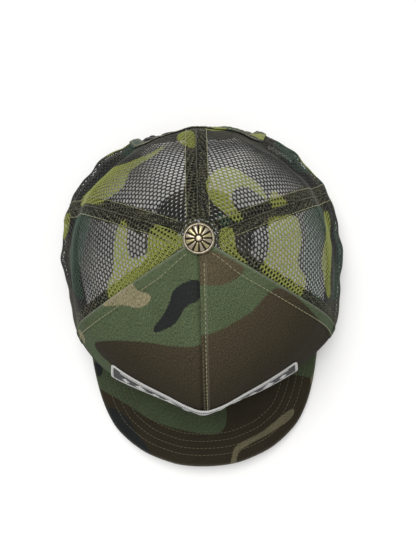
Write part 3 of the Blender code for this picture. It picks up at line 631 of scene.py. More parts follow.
def terry(name, tone):
    """Soft brushed sweatband cloth."""
    k = Look(name, 0.96, Sheen_Weight=0.25, Sheen_Roughness=0.6, Specular_IOR_Level=0.2)
    fab = k.data("fabric", True)
    u, v, w = k.split(fab)[:3]
    rib = k.wave(u, 0.9)
    fuzz = k.noise(fab, 2.2, 4.0, 0.7)
    soft = k.noise(fab, 0.12, 3.0)
    colour = k.mix(k.ease(fuzz, 0.35, 0.75), tone, tuple(min(1, c * 2.1 + 0.006) for c in tone))
    colour = k.mix(k.ease(soft, 0.4, 0.7, 0.0, 0.4), colour, tuple(c * 0.6 for c in tone))
    return k.done(colour, None, k.bump(k.add(fuzz, k.mul(rib, 0.35)), 0.7, 0.0003))


def thread(name, tone, shine=0.55):
    """Twisted sewing thread."""
    k = Look(name, shine, Specular_IOR_Level=0.4, Sheen_Weight=0.1)
    p = k.object()
    x, y, z = k.split(p)[:3]
    twist = k.wave(k.add(x, k.mul(y, 1.3), k.mul(z, 0.8)), 0.00034)
    spot = k.noise(p, 900.0, 3.0)
    colour = k.mix(k.ease(twist, 0.1, 0.8), tuple(c * 0.72 for c in tone), tone)
    colour = k.mix(k.ease(spot, 0.45, 0.75, 0.0, 0.4), colour, tuple(c * 0.6 for c in tone))
    return k.done(colour, None, k.bump(twist, 0.5, 0.0001))


def moulded(name, tone, rough=0.36):
    """Injection moulded plastic: fine grain, faint flow marks and handling scuffs."""
    k = Look(name, rough, Specular_IOR_Level=0.5)
    p = k.object()
    grain = k.noise(p, 2600.0, 2.0)
    flow = k.noise(p, 90.0, 4.0, 0.6)
    scuff = k.ease(k.noise(p, 420.0, 5.0, 0.75), 0.58, 0.72)
    colour = k.mix(k.ease(flow, 0.3, 0.75), tone, tuple(min(1, c * 1.25 + 0.004) for c in tone))
    colour = k.mix(k.mul(scuff, 0.25), colour, tuple(min(1, c * 2.0 + 0.02) for c in tone))
    return k.done(colour, k.add(k.ease(flow, 0.2, 0.8, rough - 0.06, rough + 0.1), k.mul(scuff, 0.12)), k.bump(k.add(grain, k.mul(flow, 0.6)), 0.14, 0.00008))


def antique(name, plain=False):
    """Pale antiqued metal: polished high places, dark tarnish in the hollows."""
    k = Look(name, 0.3, Metallic=1.0)
    p = k.object()
    spot = k.noise(p, 700.0, 5.0, 0.7)
    brush = k.noise(p, 2600.0, 3.0, 0.7)
    colour = k.mix(k.ease(spot, 0.3, 0.75), (0.54, 0.475, 0.365), (0.33, 0.285, 0.205))
    rough = k.ease(spot, 0.25, 0.8, 0.24, 0.42)
    if not plain:
        colour = k.mix(k.data("gold"), colour, k.mix(k.ease(spot, 0.3, 0.7), (0.57, 0.505, 0.28), (0.39, 0.33, 0.17)))
        hollow = k.ease(k.add(k.data("hollow"), k.math("MULTIPLY_ADD", spot, 0.5, -0.25)), 0.25, 0.8)
        colour = k.mix(hollow, colour, (0.045, 0.036, 0.026))
        rough = k.math("MULTIPLY_ADD", hollow, 0.35, rough)
    return k.done(colour, rough, k.bump(k.add(brush, k.mul(spot, 0.6)), 0.22, 0.00006))


TWILL = camo_twill("camo twill")
# painted shade: the visor's twill is a darker copy of the crown's, standing in for the crown's shadow on the visor
TWILL_VISOR_SHADED = camo_twill("camo twill visor painted shade", 0.82, tuple(c * 0.82 for c in GREEN), tuple(c * 1.3 for c in BROWN), tuple(c * 0.62 for c in TAN))
NET = camo_net("camo net")
TAPE = woven("seam tape weave", (0.016, 0.017, 0.012), (0.005, 0.0055, 0.0045), 0.6)
BUCKRAM = woven("buckram weave", (0.66, 0.66, 0.62), (0.4, 0.4, 0.37), 1.1, 0.88, 0.6, 0.05)
BAND = terry("sweatband cloth", (0.014, 0.014, 0.015))
LABEL = woven("blank satin label", (0.70, 0.70, 0.67), (0.55, 0.55, 0.52), 0.3, 0.5, 0.25, 0.2)
KHAKI = thread("khaki thread", srgb(150, 148, 112))
DULL = thread("dull brown thread", srgb(104, 96, 74))
DARK_THREAD = thread("dark thread", (0.03, 0.032, 0.028))
WHITE = thread("white overlock thread", (0.60, 0.60, 0.585), 0.55)
PATCH = woven("patch ground weave", (0.02, 0.02, 0.022), (0.006, 0.006, 0.007), 0.5, 0.85, 0.6)
PLASTIC = moulded("snap plastic", (0.017, 0.017, 0.018))
BOARD = moulded("visor board plastic", (0.045, 0.046, 0.042), 0.5)
METAL = antique("antique metal")
METAL_PLAIN = antique("antique metal back", True)


# ================================================================ printed blobs, in cloth mm
FRONT_PRINT = {
    "front_left": {
        "tan": [[(-75.1, 93.9), (-64.5, 106.4), (-52.9, 119.2), (-48.1, 123.6), (-43.6, 123.6), (-31.5, 130.6), (-32.6, 125.9), (-40.0, 118.1), (-47.4, 113.8), (-57.6, 107.5)],
                [(-104, 46.5), (-94.1, 59.1), (-91.3, 54.7), (-97, 34.8), (-103.2, 28.6)]],
        "ink": [[(-1.2, 155.9), (3, 150), (-1.3, 143.7), (-6.6, 140.2), (-10.3, 135.4), (-11.5, 131.8), (-15.8, 124.8), (-22.3, 118.1), (-29, 111.7), (-30.9, 112.7), (-27.9, 118.1), (-22.8, 125.9), (-20.7, 130.6), (-18.2, 135.4), (-17.7, 140.2), (-9.9, 149.4)]],
        "brown": [[(-80.9, 68.8), (-64.3, 83.8), (-49.6, 93.9), (-35.6, 102.4), (-22.9, 109.6), (-14.6, 113.8), (6, 124), (6, 101.4), (6, 52), (-16.6, 50.9), (-35.3, 57.9), (-50.7, 60.4), (-62.8, 62.6), (-76.5, 60.2)]],
    },
    "front_right": {
        "tan": [[(30, 30), (44, 36), (50, 28), (38, 16), (24, 14)]],
        "ink": [[(58, 20), (70, 26), (84, 18), (88, 8), (70, 4)]],
        "brown": [[(0.6, 169.3), (9.2, 164.2), (21.3, 151.6), (31.6, 140.2), (27.3, 141.4), (20.9, 142.6), (12.1, 146), (5.2, 150.5), (-3, 153.8), (-5, 162.2)],
                  [(-5, 127.1), (6.8, 124.8), (12.3, 123.6), (20.6, 122.5), (29.9, 120.3), (38.1, 120.3), (44.1, 119.2), (54, 116), (73.2, 94.8), (91, 66.8), (105.2, 27.7), (86.2, 28.5), (71.2, 33.2), (45.6, 38.7), (22, 44.8), (-5, 50.7), (-5, 101.4)]],
    },
}
NET_PRINT = {
    "back_left": {"lime": [[(51.5, 47.8), (47.4, 42.5), (35.3, 47.8), (19.9, 53.1), (8, 86.4), (-3.4, 94.5), (-14.8, 94.5), (-24.5, 93.5), (-8.4, 102.7), (6.6, 100.9), (12.3, 108.4), (18.7, 110.4), (29.2, 102.7), (38.3, 97.2)],
                           [(-46, 66), (-36, 72), (-30, 92), (-34, 104), (-44, 100)]],
                  "bottle": [[(-40, 40), (-26, 52), (-8, 50), (6, 40), (-6, 28), (-30, 26)]]},
    "side_left": {"lime": [[(-26.7, 24.3), (-44.8, 24.3), (-44.6, 37.4), (-35.5, 38.4), (-26.1, 36.9)],
                           [(-25.5, 127.8), (-16.2, 134), (-9.1, 134), (2.3, 135.1), (3.2, 142.6), (1.1, 149), (-14.5, 149), (-14, 153.2), (-9.1, 162), (-3.7, 170.5), (2.3, 171.4), (3.4, 165.8), (9.1, 157.2), (14.7, 141.5), (17.9, 134), (29.3, 112.5), (17.2, 112.5), (7.7, 121.7), (-0.9, 123.7), (-13.8, 124.8)]],
                  "bottle": [[(-43.2, 44.3), (-34.8, 96.6), (-25.9, 100.5), (-11, 94.6), (7.7, 87), (21.4, 89.8), (18.3, 78), (-1.6, 58.6), (-27, 46.1)]]},
    "back_right": {"lime": [[(16, 136.6), (14.3, 125.6), (11.3, 121.7), (4.7, 118.7), (-2.5, 119.7), (-10.7, 119.7), (-24.1, 121.7), (-19.5, 124.6), (-12.6, 126.6), (-6.3, 127.6), (-2.3, 132.6), (-1.7, 138.7), (-6.9, 144.7), (-17.3, 142.7), (-17.2, 146.6), (-13, 149.5), (-5.9, 151.4), (2, 151.4), (7.9, 147.6)],
                            [(16, 136.6), (14.3, 125.6), (11.3, 121.7), (9.7, 128.7), (5.5, 142.7), (7.9, 147.6)],
                            [(-21.5, 113.7), (-28.3, 111.7), (-39.6, 108.8), (-39.5, 112.7), (-33.8, 121.7), (-23.7, 122.7)],
                            [(45.5, 37.7), (26.8, 32.9), (20.6, 51.1), (28.7, 61), (39.6, 70.6)]],
                   "bottle": [[(-46, 30), (-30, 44), (-12, 42), (-2, 26), (-20, 14), (-40, 16)], [(-20, 152), (-9, 158), (0, 156), (-6, 151)]]},
    "side_right": {"lime": [[(7.2, 166.7), (9.4, 159.1), (1.2, 160), (-6.7, 157.1), (-8.9, 152.1), (-11.9, 148.9), (-11.6, 153.1), (-8.5, 160), (-5.5, 167.6), (1.5, 169.5)],
                            [(16.1, 136.1), (19.3, 126.8), (20.9, 118.5), (21.7, 110.4), (8.7, 111.4), (1.6, 112.4), (-9, 115.4), (-17.7, 105.5), (-25.5, 105.5), (-33.8, 108.4), (-24.6, 124.7), (-15.3, 142.5), (-7.1, 138.3), (3.6, 137.2)],
                            [(33.9, 45), (31.4, 38.6), (15.3, 45), (-4.6, 69.3), (-16.5, 74.6), (-24.4, 62.5), (-30, 66.2), (-25, 80.2), (-9.6, 89.8), (4.8, 86.1), (18.2, 74.2)]],
                   "bottle": [[(24.6, 105.5), (31.5, 83.5), (37.1, 41.2), (11.8, 83.5), (-6, 92.7), (-20.2, 90.8), (-30.5, 81), (-30.8, 93.7), (-18.5, 104.5), (-7.2, 111.4), (6.8, 107.4)],
                              [(32.3, 33.6), (21.1, 28.9), (-2.7, 30.3), (-22.7, 31.7), (-33.2, 41.2), (-23, 59.1), (-3.3, 45)]]},
}
BRIM_PRINT = {
    "brown": [],
    "green": [[(-92, -34), (-84, -62), (-77.2, -67.2), (-64.8, -73.8), (-49.0, -83.5), (-44.6, -87.3), (-35.0, -91.5), (-23.1, -95.4), (-11.3, -98.6), (5.6, -101.4), (12.5, -97.2), (14.9, -89.6), (14, -70), (0, -50), (-40, -40), (-70.0, -20)],
              [(50.8, -56.7), (67.5, -30.1), (92.1, -20.8), (92, -50), (87.8, -58.9), (81.5, -64.2), (73.6, -61.2), (64.2, -59.2)]],
    "tan": [[(14.9, -130.2), (18.6, -112.4), (22.5, -108.9), (29.3, -105.5), (39.2, -101.7), (51.7, -92.8), (64.4, -84.0), (65.8, -88.0), (62.5, -93.0), (53.9, -98.3), (43.8, -103.6), (30.7, -109.4), (23.1, -114.2), (20.9, -118.6), (19.9, -130.4)],
            [(85.8, -57.6), (80.8, -60.3), (78.3, -64.6), (80.6, -71.8), (89.1, -70.1)]],
    "ink": [[(-84.6, -43.9), (-77.1, -48.4), (-76.6, -53.0), (-80.0, -57.6), (-86.0, -53.1)],
            [(-76.3, -79.8), (-71.5, -79.7), (-66.8, -81.8), (-60.7, -85.5), (-54.2, -94.5), (-52.8, -99.1), (-44.1, -109.6), (-42.8, -114.9), (-37.7, -124.0), (-50.3, -122.1), (-66.8, -112.3), (-78.7, -93.6)]],
}


def twill_data(panel, u, v):
    """Print on a front panel; below the patch the blobs drift, as no two caps are cut alike."""
    low = 1 - step(34, 52, v)
    data = {}
    for k, (key, seed) in enumerate((("brown", 2.3), ("tan", 5.1), ("ink", 7.7))):
        d = inside_distance(FRONT_PRINT[panel].get(key, []), u, v)
        free = drift(u, v, seed + (0.6 if "right" in panel else 0), 26.0) - (2.0, 8.5, 8.0)[k]
        data[key] = np.where(low > 0, np.maximum(np.where(low > 0.5, -60.0 if k else d, d), free - 40 * (1 - low)), d)
    return data


def net_data(panel, u, v, s):
    low = 1 - step(26, 40, v)
    seed = {"back_left": 1.0, "side_left": 2.6, "back_right": 4.1, "side_right": 5.9}[panel]
    lime = np.maximum(inside_distance(NET_PRINT[panel]["lime"], u, v), drift(u, v, seed, 21.0) - 6.8 - 30 * (1 - low))
    bottle = np.maximum(inside_distance(NET_PRINT[panel]["bottle"], u, v), drift(u, v, seed + 2.2, 25.0) - 5.0 - 30 * (1 - low))
    return {"lime": lime, "bottle": bottle, "earth": drift(u, v, seed + 4.7, 19.0) - 0.5}


def ride(obj, slot, *nodes, body=BODY):
    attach(obj, body)
    if nodes:
        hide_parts(*nodes)
    return obj


def fabric(u, v):
    u, v = np.broadcast_arrays(np.asarray(u, float), np.asarray(v, float))
    return np.stack([u.ravel(), v.ravel(), np.zeros(u.size)], -1)


# ================================================================ front panels
FOLD_OUT = 0.8          # how far the folded edge lies over the net
CENTRE_MM = np.array([0, 0.3, 0.6, 0.85, 1.1, 1.4, 1.75, 2.1, 2.4, 2.65, 2.9, 3.15, 3.4, 3.65, 3.9, 4.2, 5.0])
EDGE_MM = np.array([0, 0.15, 0.4, 0.7, 1.1, 1.7, 2.6, 3.7, 4.8, 5.6, 6.1, 6.5, 6.8, 7.1, 7.5, 7.9, 8.3, 8.9])


def front_panel(side, sign):
    panel = "front_" + side
    rows = 168
    ss = np.concatenate([[-0.0125, -0.011, -0.008, -0.004], np.linspace(0, 0.972, rows - 4)])
    S = ss[:, None]
    edge = np.abs(seam(1, ss))[:, None]
    r_mid, r_edge = lookup(PROFILE_R, 4.0, S), lookup(PROFILE_R, edge, S)
    width = np.radians(edge) * r_mid
    k = np.minimum(1.0, 0.40 * width / 8.9)
    centre = np.degrees(CENTRE_MM[None] * k / r_mid)
    border = edge + np.degrees((FOLD_OUT - EDGE_MM[None] * k) / r_edge)
    f = np.linspace(0, 1, 70)[1:-1]
    between = centre[:, -1:] + (border[:, -1:] - centre[:, -1:]) * f
    phi = np.concatenate([centre, between, border[:, ::-1]], 1)
    S = np.broadcast_to(S, phi.shape)
    d = np.radians(phi) * r_mid
    e = np.radians(edge - phi) * r_edge + FOLD_OUT
    u, v = cloth_uv(panel, phi * sign, S)
    out = np.full(phi.shape, 1.0)
    if sign > 0:
        out += 0.5 * (1 - step(3.55, 4.0, d)) - 0.75 * bump(d, 0, 0.5)
        out += -0.2 * bump(d, 2.8, 0.4) - 0.15 * bump(d, 0.95, 0.35)
        out += 0.09 * np.sin(v * 2 * np.pi / 3.2) * bump(d, 3.1, 1.0)
    else:
        out += -1.05 * bump(d, 0, 1.0) + 0.16 * bump(d, 3.0, 2.0)
    out += 0.42 * (1 - step(7.5, 8.3, e)) - 0.2 * bump(e, 6.8, 0.42) + 0.1 * np.sin(v * 2 * np.pi / 6.4 + 1) * bump(e, 6.8, 1.6)
    out += 0.12 * np.sin(v / 2.9 + np.sin(v / 7.0)) * bump(e, 9.5, 3.0)
    out -= 1.15 * (1 - np.sqrt(1 - (1 - np.clip(e / 0.9, 0, 1)) ** 2))
    low = (S + 0.0125) * 100
    out -= 0.55 * (1 - np.sqrt(1 - (1 - np.clip(low / 0.9, 0, 1)) ** 2))
    out += -0.16 * bump(v, 3.6, 0.6) + 0.14 * np.sin(u * 2 * np.pi / 9.0) * bump(v, 6.5, 3.5)
    inner_off = 0.04 + 0.84 * (1 - step(0.7, 2.0, e))
    outer = crown(phi * sign, S, out, side=sign)
    inner = crown(phi * sign, S, inner_off, side=sign)
    # the valley of the centre seam: both panels turn in where they meet
    co, faces = closed_sheet(outer, inner)
    data = {"fabric": both(fabric(u, v).reshape(*phi.shape, 3))}
    for key, value in twill_data(panel, u, v).items():
        data[key] = both(value)
    # painted highlight: paler along the folded edge, the edge of the fell and the rim
    painted_edge_highlight = np.clip(bump(e, 0.5, 0.8) + (bump(d, 3.7, 0.35) if sign > 0 else 0 * d) + bump(low, 0, 1.0), 0, 1)
    data["painted_edge_highlight"] = both(painted_edge_highlight)
    # painted top light: rises towards the top of the crown
    data["painted_top_light"] = both(np.clip((S - 0.3) / 0.62, 0, 1) ** 2.8)
    obj = make(panel + "_cloth", co, faces, TWILL, data=data)
    return ride(obj, "camo_twill", "front_panel_" + side)


# ================================================================ net panels
NET_A, NET_B = 3.2, 2.2      # pitch along and between the rows of holes
HOLE_X, HOLE_Y = 1.20, 0.81


def net(name, panel, keep, off=0.45, thick=0.30, shift=(0.0, 0.0), turn=0.0, hole=(HOLE_X, HOLE_Y)):
    """A knitted net: cells of a staggered lattice, each with a rounded hole between raised yarns."""
    a, b = NET_A, NET_B
    y1, y2 = (a * a / 4 + b * b) / (2 * b), (b * b - a * a / 4) / (2 * b)
    c, mid, w0, w1 = PANELS[panel]
    ss, arc = arc_table(mid)
    n_u, n_v = int(115 / a), int(arc[-1] / b) + (30 if turn else 4)
    i, j = np.meshgrid(np.arange(-n_u, n_u + 1), np.arange(-30 if turn else 0, n_v))
    i, j = i.ravel(), j.ravel()
    ct, st = math.cos(turn), math.sin(turn)

    def cloth(x, y):
        x, y = x + shift[0], y + shift[1]
        return x * ct - y * st, x * st + y * ct + 0.75

    def place(x, y):
        u, v = cloth(x, y)
        phi, s = cloth_place(panel, u, v)
        return u, v, phi, s

    X, Y = i * a + (j % 2) * a / 2, j * b * 1.0
    u, v, phi, s = place(X, Y)
    r = lookup(PROFILE_R, phi, s)
    inside = (v > 0.3) & (v < arc[-1] - 1) & (r > 5.2) & (phi > seam(w0, s) + np.degrees(0.35 / r)) & (phi < seam(w1, s) - np.degrees(0.35 / r))
    if "back" in panel:
        p = base(phi, s)
        e = 2 / ARCH_POWER
        inside &= (np.abs(p[:, 0]) / (ARCH_HALF_W + 0.7)) ** e + (np.abs(p[:, 2]) / (ARCH_H + 0.7)) ** e > 1
    inside &= keep(u, v, phi, s, r)
    i, j, X, Y = i[inside], j[inside], X[inside], Y[inside]
    dx = np.array([2, 1, 0, -1, -2, -2, -2, -1, 0, 1, 2, 2]) * a / 4
    dy = np.array([y2, b / 2, y1, b / 2, y2, 0, -y2, -b / 2, -y1, -b / 2, -y2, 0])
    bx, by = X[:, None] + dx, Y[:, None] + dy
    key = np.round(bx / (a / 4)).astype(np.int64) * 10_000_000 + np.round(by * 200).astype(np.int64)
    _, first, index = np.unique(key.ravel(), return_index=True, return_inverse=True)
    index = index.reshape(key.shape)
    px, py = bx.ravel()[first], by.ravel()[first]
    scale = 1 / np.sqrt((dx / hole[0]) ** 2 + (dy / hole[1]) ** 2)
    hx, hy = X[:, None] + dx * scale, Y[:, None] + dy * scale

    def solid(x, y):
        u, v, phi, s = place(x, y)
        v0 = np.maximum(v, 0.2)
        s = np.where(v < 0.2, np.interp(v0, arc, ss), s)
        r = np.maximum(lookup(PROFILE_R, phi, s), 1.0)
        phi = np.clip(phi, seam(w0, s) + np.degrees(0.12 / r), seam(w1, s) - np.degrees(0.12 / r))
        return u, v, phi, s

    bu, bv, bphi, bs = solid(px, py)
    hu, hv, hphi, hs = solid(hx.ravel(), hy.ravel())
    bn, hn = normal(bphi, bs), normal(hphi, hs)
    bp, hp = base(bphi, bs), base(hphi, hs)
    # yarns lie a little higher where the loops cross
    knot = 0.07 * np.sin(px * 2 * np.pi / a * 2 + 0.6) * np.sin(py * np.pi / b)
    top = bp + bn * (off + thick + knot)[:, None]
    bottom = bp + bn * (off - thick + knot)[:, None]
    ring = hp + hn * off
    nb, nh = len(bp), len(hp)
    co = np.concatenate([top, bottom, ring])
    h = 2 * nb + np.arange(nh).reshape(-1, 12)
    t, t2, h2 = index, np.roll(index, -1, 1), np.roll(h, -1, 1)
    faces = [np.stack([t, t2, h2, h], -1).reshape(-1, 4), np.stack([t2 + nb, t + nb, h, h2], -1).reshape(-1, 4)]
    # close the outside border between the upper and the lower yarn faces
    pair = np.stack([t, t2], -1).reshape(-1, 2)
    code = np.minimum(pair[:, 0], pair[:, 1]) * nb + np.maximum(pair[:, 0], pair[:, 1])
    _, where, count = np.unique(code, return_index=True, return_counts=True)
    lone = pair[where[count == 1]]
    faces.append(np.stack([lone[:, 1], lone[:, 0], lone[:, 0] + nb, lone[:, 1] + nb], -1))
    U, V, S = np.concatenate([bu, bu, hu]), np.concatenate([bv, bv, hv]), np.concatenate([bs, bs, hs])
    data = {"fabric": fabric(U, V)}
    data.update(net_data(panel, U, V, S))
    PH = np.concatenate([bphi, bphi, hphi])
    R = lookup(PROFILE_R, PH, S)
    near = np.radians(np.minimum(PH - seam(w0, S), seam(w1, S) - PH)) * R
    data["tangle"] = 1 - step(6.0, 7.4, near)
    return make(name, co, faces, NET, data=data)


def net_panel(panel):
    c, mid, w0, w1 = PANELS[panel]
    group, side = panel.split("_")
    obj = net(panel + "_net", panel, lambda u, v, phi, s, r: v > -1)
    ride(obj, "camo_mesh", "%s_mesh_%s" % (group, side))

    def turned_in(u, v, phi, s, r):
        """The seam allowances and the hem, folded under the panel."""
        a = np.radians(phi - seam(w0, s)) * r
        b = np.radians(seam(w1, s) - phi) * r
        return (a < 6.6) | (b < 6.6) | (v < 7.5) | (s > 0.865)

    under = net(panel + "_net_allowance", panel, turned_in, off=-0.12, thick=0.22, shift=(1.4, 0.35), turn=0.035, hole=(1.02, 0.68))
    ride(under, "camo_mesh")


def ribbon(name, phi, s, half, off, material, thick=0.6, crown_up=0.0, columns=7, data=None, edge=0.5):
    """A narrow strip of cloth along (phi, s), curved with the crown, with rounded sides."""
    r = np.maximum(lookup(PROFILE_R, phi, s), 6.0)
    w = np.linspace(-1, 1, columns)
    # across the strip: along azimuth for seams that run up the crown
    ph = phi[:, None] + np.degrees(w[None] * half / r[:, None])
    S = np.broadcast_to(s[:, None], ph.shape)
    lift = crown_up * (1 - w**2)[None] - edge * thick * 0.5 * np.abs(w[None]) ** 8
    outer = crown(ph, S, off + thick / 2 + lift, dphi=2.0)
    inner = crown(ph, S, off - thick / 2 + crown_up * (1 - w**2)[None] + edge * thick * 0.5 * np.abs(w[None]) ** 8, dphi=2.0)
    co, faces = closed_sheet(outer, inner)
    length = np.concatenate([[0], np.cumsum(np.linalg.norm(np.diff(base(phi, s), axis=0), axis=1))])
    info = {"fabric": both(fabric(np.broadcast_to(w[None] * half, ph.shape), np.broadcast_to(length[:, None], ph.shape)).reshape(*ph.shape, 3))}
    for key, value in (data or {}).items():
        info[key] = both(np.broadcast_to(value, ph.shape))
    return make(name, co, faces, material, data=info)


front_panel("right", 1)
front_panel("left", -1)
for panel in ("side_right", "side_left", "back_right", "back_left"):
    net_panel(panel)

# ---------------------------------------------------------------- stiff lining behind the front
for side, sign in (("right", 1), ("left", -1)):
    s = np.linspace(0.05, 0.79, 90)[:, None]
    r0 = lookup(PROFILE_R, 4.0, s)
    last = np.abs(seam(1, s))
    r1 = lookup(PROFILE_R, last, s)
    lo, hi = np.degrees(8.6 / r0), last - np.degrees(8.6 / r1)
    phi = lo + (hi - lo) * np.linspace(0, 1, 60)[None]
    S = np.broadcast_to(s, phi.shape)
    wave = 0.08 * np.sin(phi / 2.6 + S * 31) * np.sin(S * 47)
    co, faces = closed_sheet(crown(phi * sign, S, -0.32 + wave, side=sign), crown(phi * sign, S, -1.05 + wave, side=sign))
    u, v = cloth_uv("front_" + side, phi * sign, S)
    ride(make("front_%s_buckram" % side, co, faces, BUCKRAM, data={"fabric": both(fabric(u, v).reshape(*phi.shape, 3))}), "buckram", "front_buckram_" + side)

# ---------------------------------------------------------------- tapes over the seams, inside
for label, which, lo, hi in (("front", 0, 0.05, 0.93), ("front_right", 1, 0.05, 0.93), ("front_left", -1, 0.05, 0.93), ("side_right", 2, 0.05, 0.945), ("side_left", -2, 0.05, 0.945), ("back", 3, 0.505, 0.945)):
    s = np.linspace(lo, hi, 150)
    phi = seam(which, s)
    s_off = -0.72
    obj = ribbon("seam_tape_%s_weave" % label, phi, s, 7.0, s_off, TAPE, thick=0.5, columns=13)
    ride(obj, "seam_tape", "seam_tape_" + label)
    for w in (-6.1, 6.1):
        r = np.maximum(lookup(PROFILE_R, phi, s), 20.0)
        q = phi + np.degrees(w / r)
        stitches("inner_seam_stitches", crown(q, s, -1.02), -normal(q, s, dphi=2.0), DARK_THREAD, radius=0.2)


# ================================================================ topstitching on the crown
def meridian(which, gap_mm, lo, hi, n=260, side=0):
    """A line gap_mm beside a seam, as azimuths and heights."""
    s = np.linspace(lo, hi, n)
    a = seam(which, s)
    r = np.maximum(lookup(PROFILE_R, a, s), 6.0)
    narrow = 1 - 0.45 * step(0.86, 0.955, s) if abs(which) == 1 else 1.0
    return a + np.degrees(gap_mm * narrow / r), s


def off_seam(name, which, gap, off, lo, hi, thread_look, side=0, **k):
    phi, s = meridian(which, gap, lo, hi)
    stitches(name, crown(phi, s, off, side=side), normal(phi, s, side=side), thread_look, **k)


off_seam("front_topstitch", 0, 2.8, 1.36, 0.012, 0.95, KHAKI, side=1, pitch=2.9, share=0.78, radius=0.27)
off_seam("front_seam_lockstitch", 0, 0.95, 1.34, 0.012, 0.955, DULL, side=1, pitch=2.7, share=0.7, radius=0.18)
off_seam("front_edge_topstitch_right", 1, -6.0, 1.28, 0.02, 0.956, KHAKI, pitch=3.1, radius=0.24)
off_seam("front_edge_topstitch_left", -1, 6.0, 1.28, 0.02, 0.956, KHAKI, pitch=3.1, radius=0.24)
for sign, label in ((1, "right"), (-1, "left")):
    for gap in (-6.2, 6.2):
        off_seam("side_seam_topstitch_" + label, 2 * sign, gap, 0.86, 0.02, 0.93, KHAKI, pitch=3.1, share=0.82, radius=0.22, sink=0.2, height=0.05)
for gap in (-6.7, 6.7):
    off_seam("back_seam_topstitch", 3, gap, 0.88, 0.50, 0.935, KHAKI, pitch=3.1, share=0.84, radius=0.24, sink=0.2, height=0.05)

# the hem: one row all round the rim, left out where the opening is
rim_a, rim_b = np.linspace(-149, -SEAM_SIDE - 0.6, 420), np.linspace(SEAM_SIDE + 0.6, 149, 420)
for label, a in (("left", rim_a), ("right", rim_b)):
    ss_, arc_ = arc_table(83)
    s = np.full_like(a, float(np.interp(4.2, arc_, ss_)))
    seam_row("hem_topstitch", a, s, 0.86, DULL, pitch=3.0, radius=0.21, sink=0.2, height=0.05)
a = np.linspace(-SEAM_SIDE + 0.6, SEAM_SIDE - 0.6, 420)
a = a[np.abs(a) > 0.8]
seam_row("hem_topstitch_front", a, np.full_like(a, 0.028), 1.0, DULL, pitch=3.0, radius=0.21)

# folded net edges that meet along the rear seams
for label, which, lo, hi in (("side_right", 2, 0.0, 0.95), ("side_left", -2, 0.0, 0.95), ("back", 3, 0.49, 0.95)):
    s = np.linspace(lo, hi, 200)
    phi = seam(which, s)
    n = len(s)
    panel = {"side_right": "side_right", "side_left": "side_left", "back": "back_right"}[label]
    u, v = cloth_uv(panel, phi, s)
    info = {k: q[:, None] for k, q in net_data(panel, u, v, s).items()}
    info["bottle"] = info["bottle"] * 0 - 20
    info["tangle"] = np.ones((n, 1))
    ride(ribbon(label + "_seam_fold", phi, s, 0.42, 0.46, NET, thick=0.5, crown_up=0.06, columns=7, data=info), "camo_mesh")

# ================================================================ sweatband
def sweatband():
    """A padded band inside the rim: soft and full between its two sewn edges."""
    phi = np.linspace(-149.6, 149.6, 560)
    front = 1 - step(SEAM_SIDE - 4, SEAM_SIDE + 12, np.abs(phi))
    low = 0.004 - 0.050 * front
    high = 0.292
    m = np.linspace(0, 1, 26)
    # around the section: up the outer face, over the top, down the padded inner face
    outer_off = np.full(m.shape, -1.5)
    puff = 1.05 * np.sin(np.pi * np.clip((m - 0.06) / 0.88, 0, 1)) ** 0.55 - 0.75 * bump(m, 0.13, 0.035) - 0.55 * bump(m, 0.88, 0.03)
    inner_off = -2.15 - puff
    P, T = np.meshgrid(phi, m, indexing="ij")
    S = low[:, None] + (high - low[:, None]) * T
    ripple = 0.16 * np.sin(P * 0.9 + 3 * T) * np.sin(P * 0.31) + 0.12 * np.sin(P * 2.7 + T * 5) * np.sin(np.pi * T)
    outer = crown(P, S, outer_off[None] + 0 * P, dphi=2.5)
    inner = crown(P, S, inner_off[None] + ripple, dphi=2.5)
    rows, cols = outer.shape[:2]
    border = np.concatenate([np.arange(cols), np.arange(1, rows) * cols + cols - 1, (rows - 1) * cols + np.arange(cols - 2, -1, -1), np.arange(rows - 2, 0, -1) * cols])
    bp, bt = P.ravel()[border], T.ravel()[border]
    bs = S.ravel()[border]
    bs = bs + np.where(bt < 0.01, -0.006, np.where(bt > 0.99, 0.006, 0.0))
    rim = crown(bp, bs, -1.85, dphi=2.5)
    co, faces = closed_sheet(outer, inner, rim)
    length = np.radians(P) * 95
    fab = np.concatenate([both(fabric(length, T * 34).reshape(*P.shape, 3)), fabric(length.ravel()[border], bt * 34)])
    obj = make("sweatband_pad", co, faces, BAND, data={"fabric": fab})
    ride(obj, "sweatband", "sweatband")
    for level, look, rad in ((0.13, DARK_THREAD, 0.22), (0.88, DULL, 0.22)):
        q = phi[4:-4]
        s = (low + (high - low) * level)[4:-4]
        stitches("sweatband_stitches", crown(q, s, -2.15 - 0.42, dphi=2.5), -normal(q, s, dphi=2.5), look, pitch=3.4, radius=rad)
    # a narrow dark lip turns out under the rim, between the band and the panels
    a = np.linspace(-149.6, 149.6, 460)
    f = 1 - step(SEAM_SIDE - 4, SEAM_SIDE + 12, np.abs(a))
    pts = crown(a, np.where(f > 0.02, 0.0, 0.0045) - 0.012 * f, -0.75, dphi=2.5)
    pts[:, 2] = np.maximum(pts[:, 2], 0.62)
    co, faces = sweep(pts, normal(a, np.full_like(a, 0.01), dphi=2.5), ellipse(0.55, 0.85, 8))
    n = len(a)
    fab = fabric(np.repeat(np.radians(a) * 95, 8), np.tile(np.arange(8) * 0.6, n))
    ride(make("sweatband_lip", co, faces, BAND, data={"fabric": fab}), "sweatband")


sweatband()

# ================================================================ blank label
s = np.linspace(0.105, 0.232, 40)[:, None]
phi = np.linspace(131.6, 144.8, 50)[None] + 0 * s
S = s + 0 * phi
curl = 0.12 * np.sin(phi * 1.3)
co, faces = closed_sheet(crown(phi, S, -3.9 + curl, dphi=2.5), crown(phi, S, -4.15 + curl, dphi=2.5))
length = np.radians(phi) * 90
ride(make("blank_label", co, faces, LABEL, data={"fabric": both(fabric(length, S * 120).reshape(*phi.shape, 3))}), "label_satin", "inner_label")

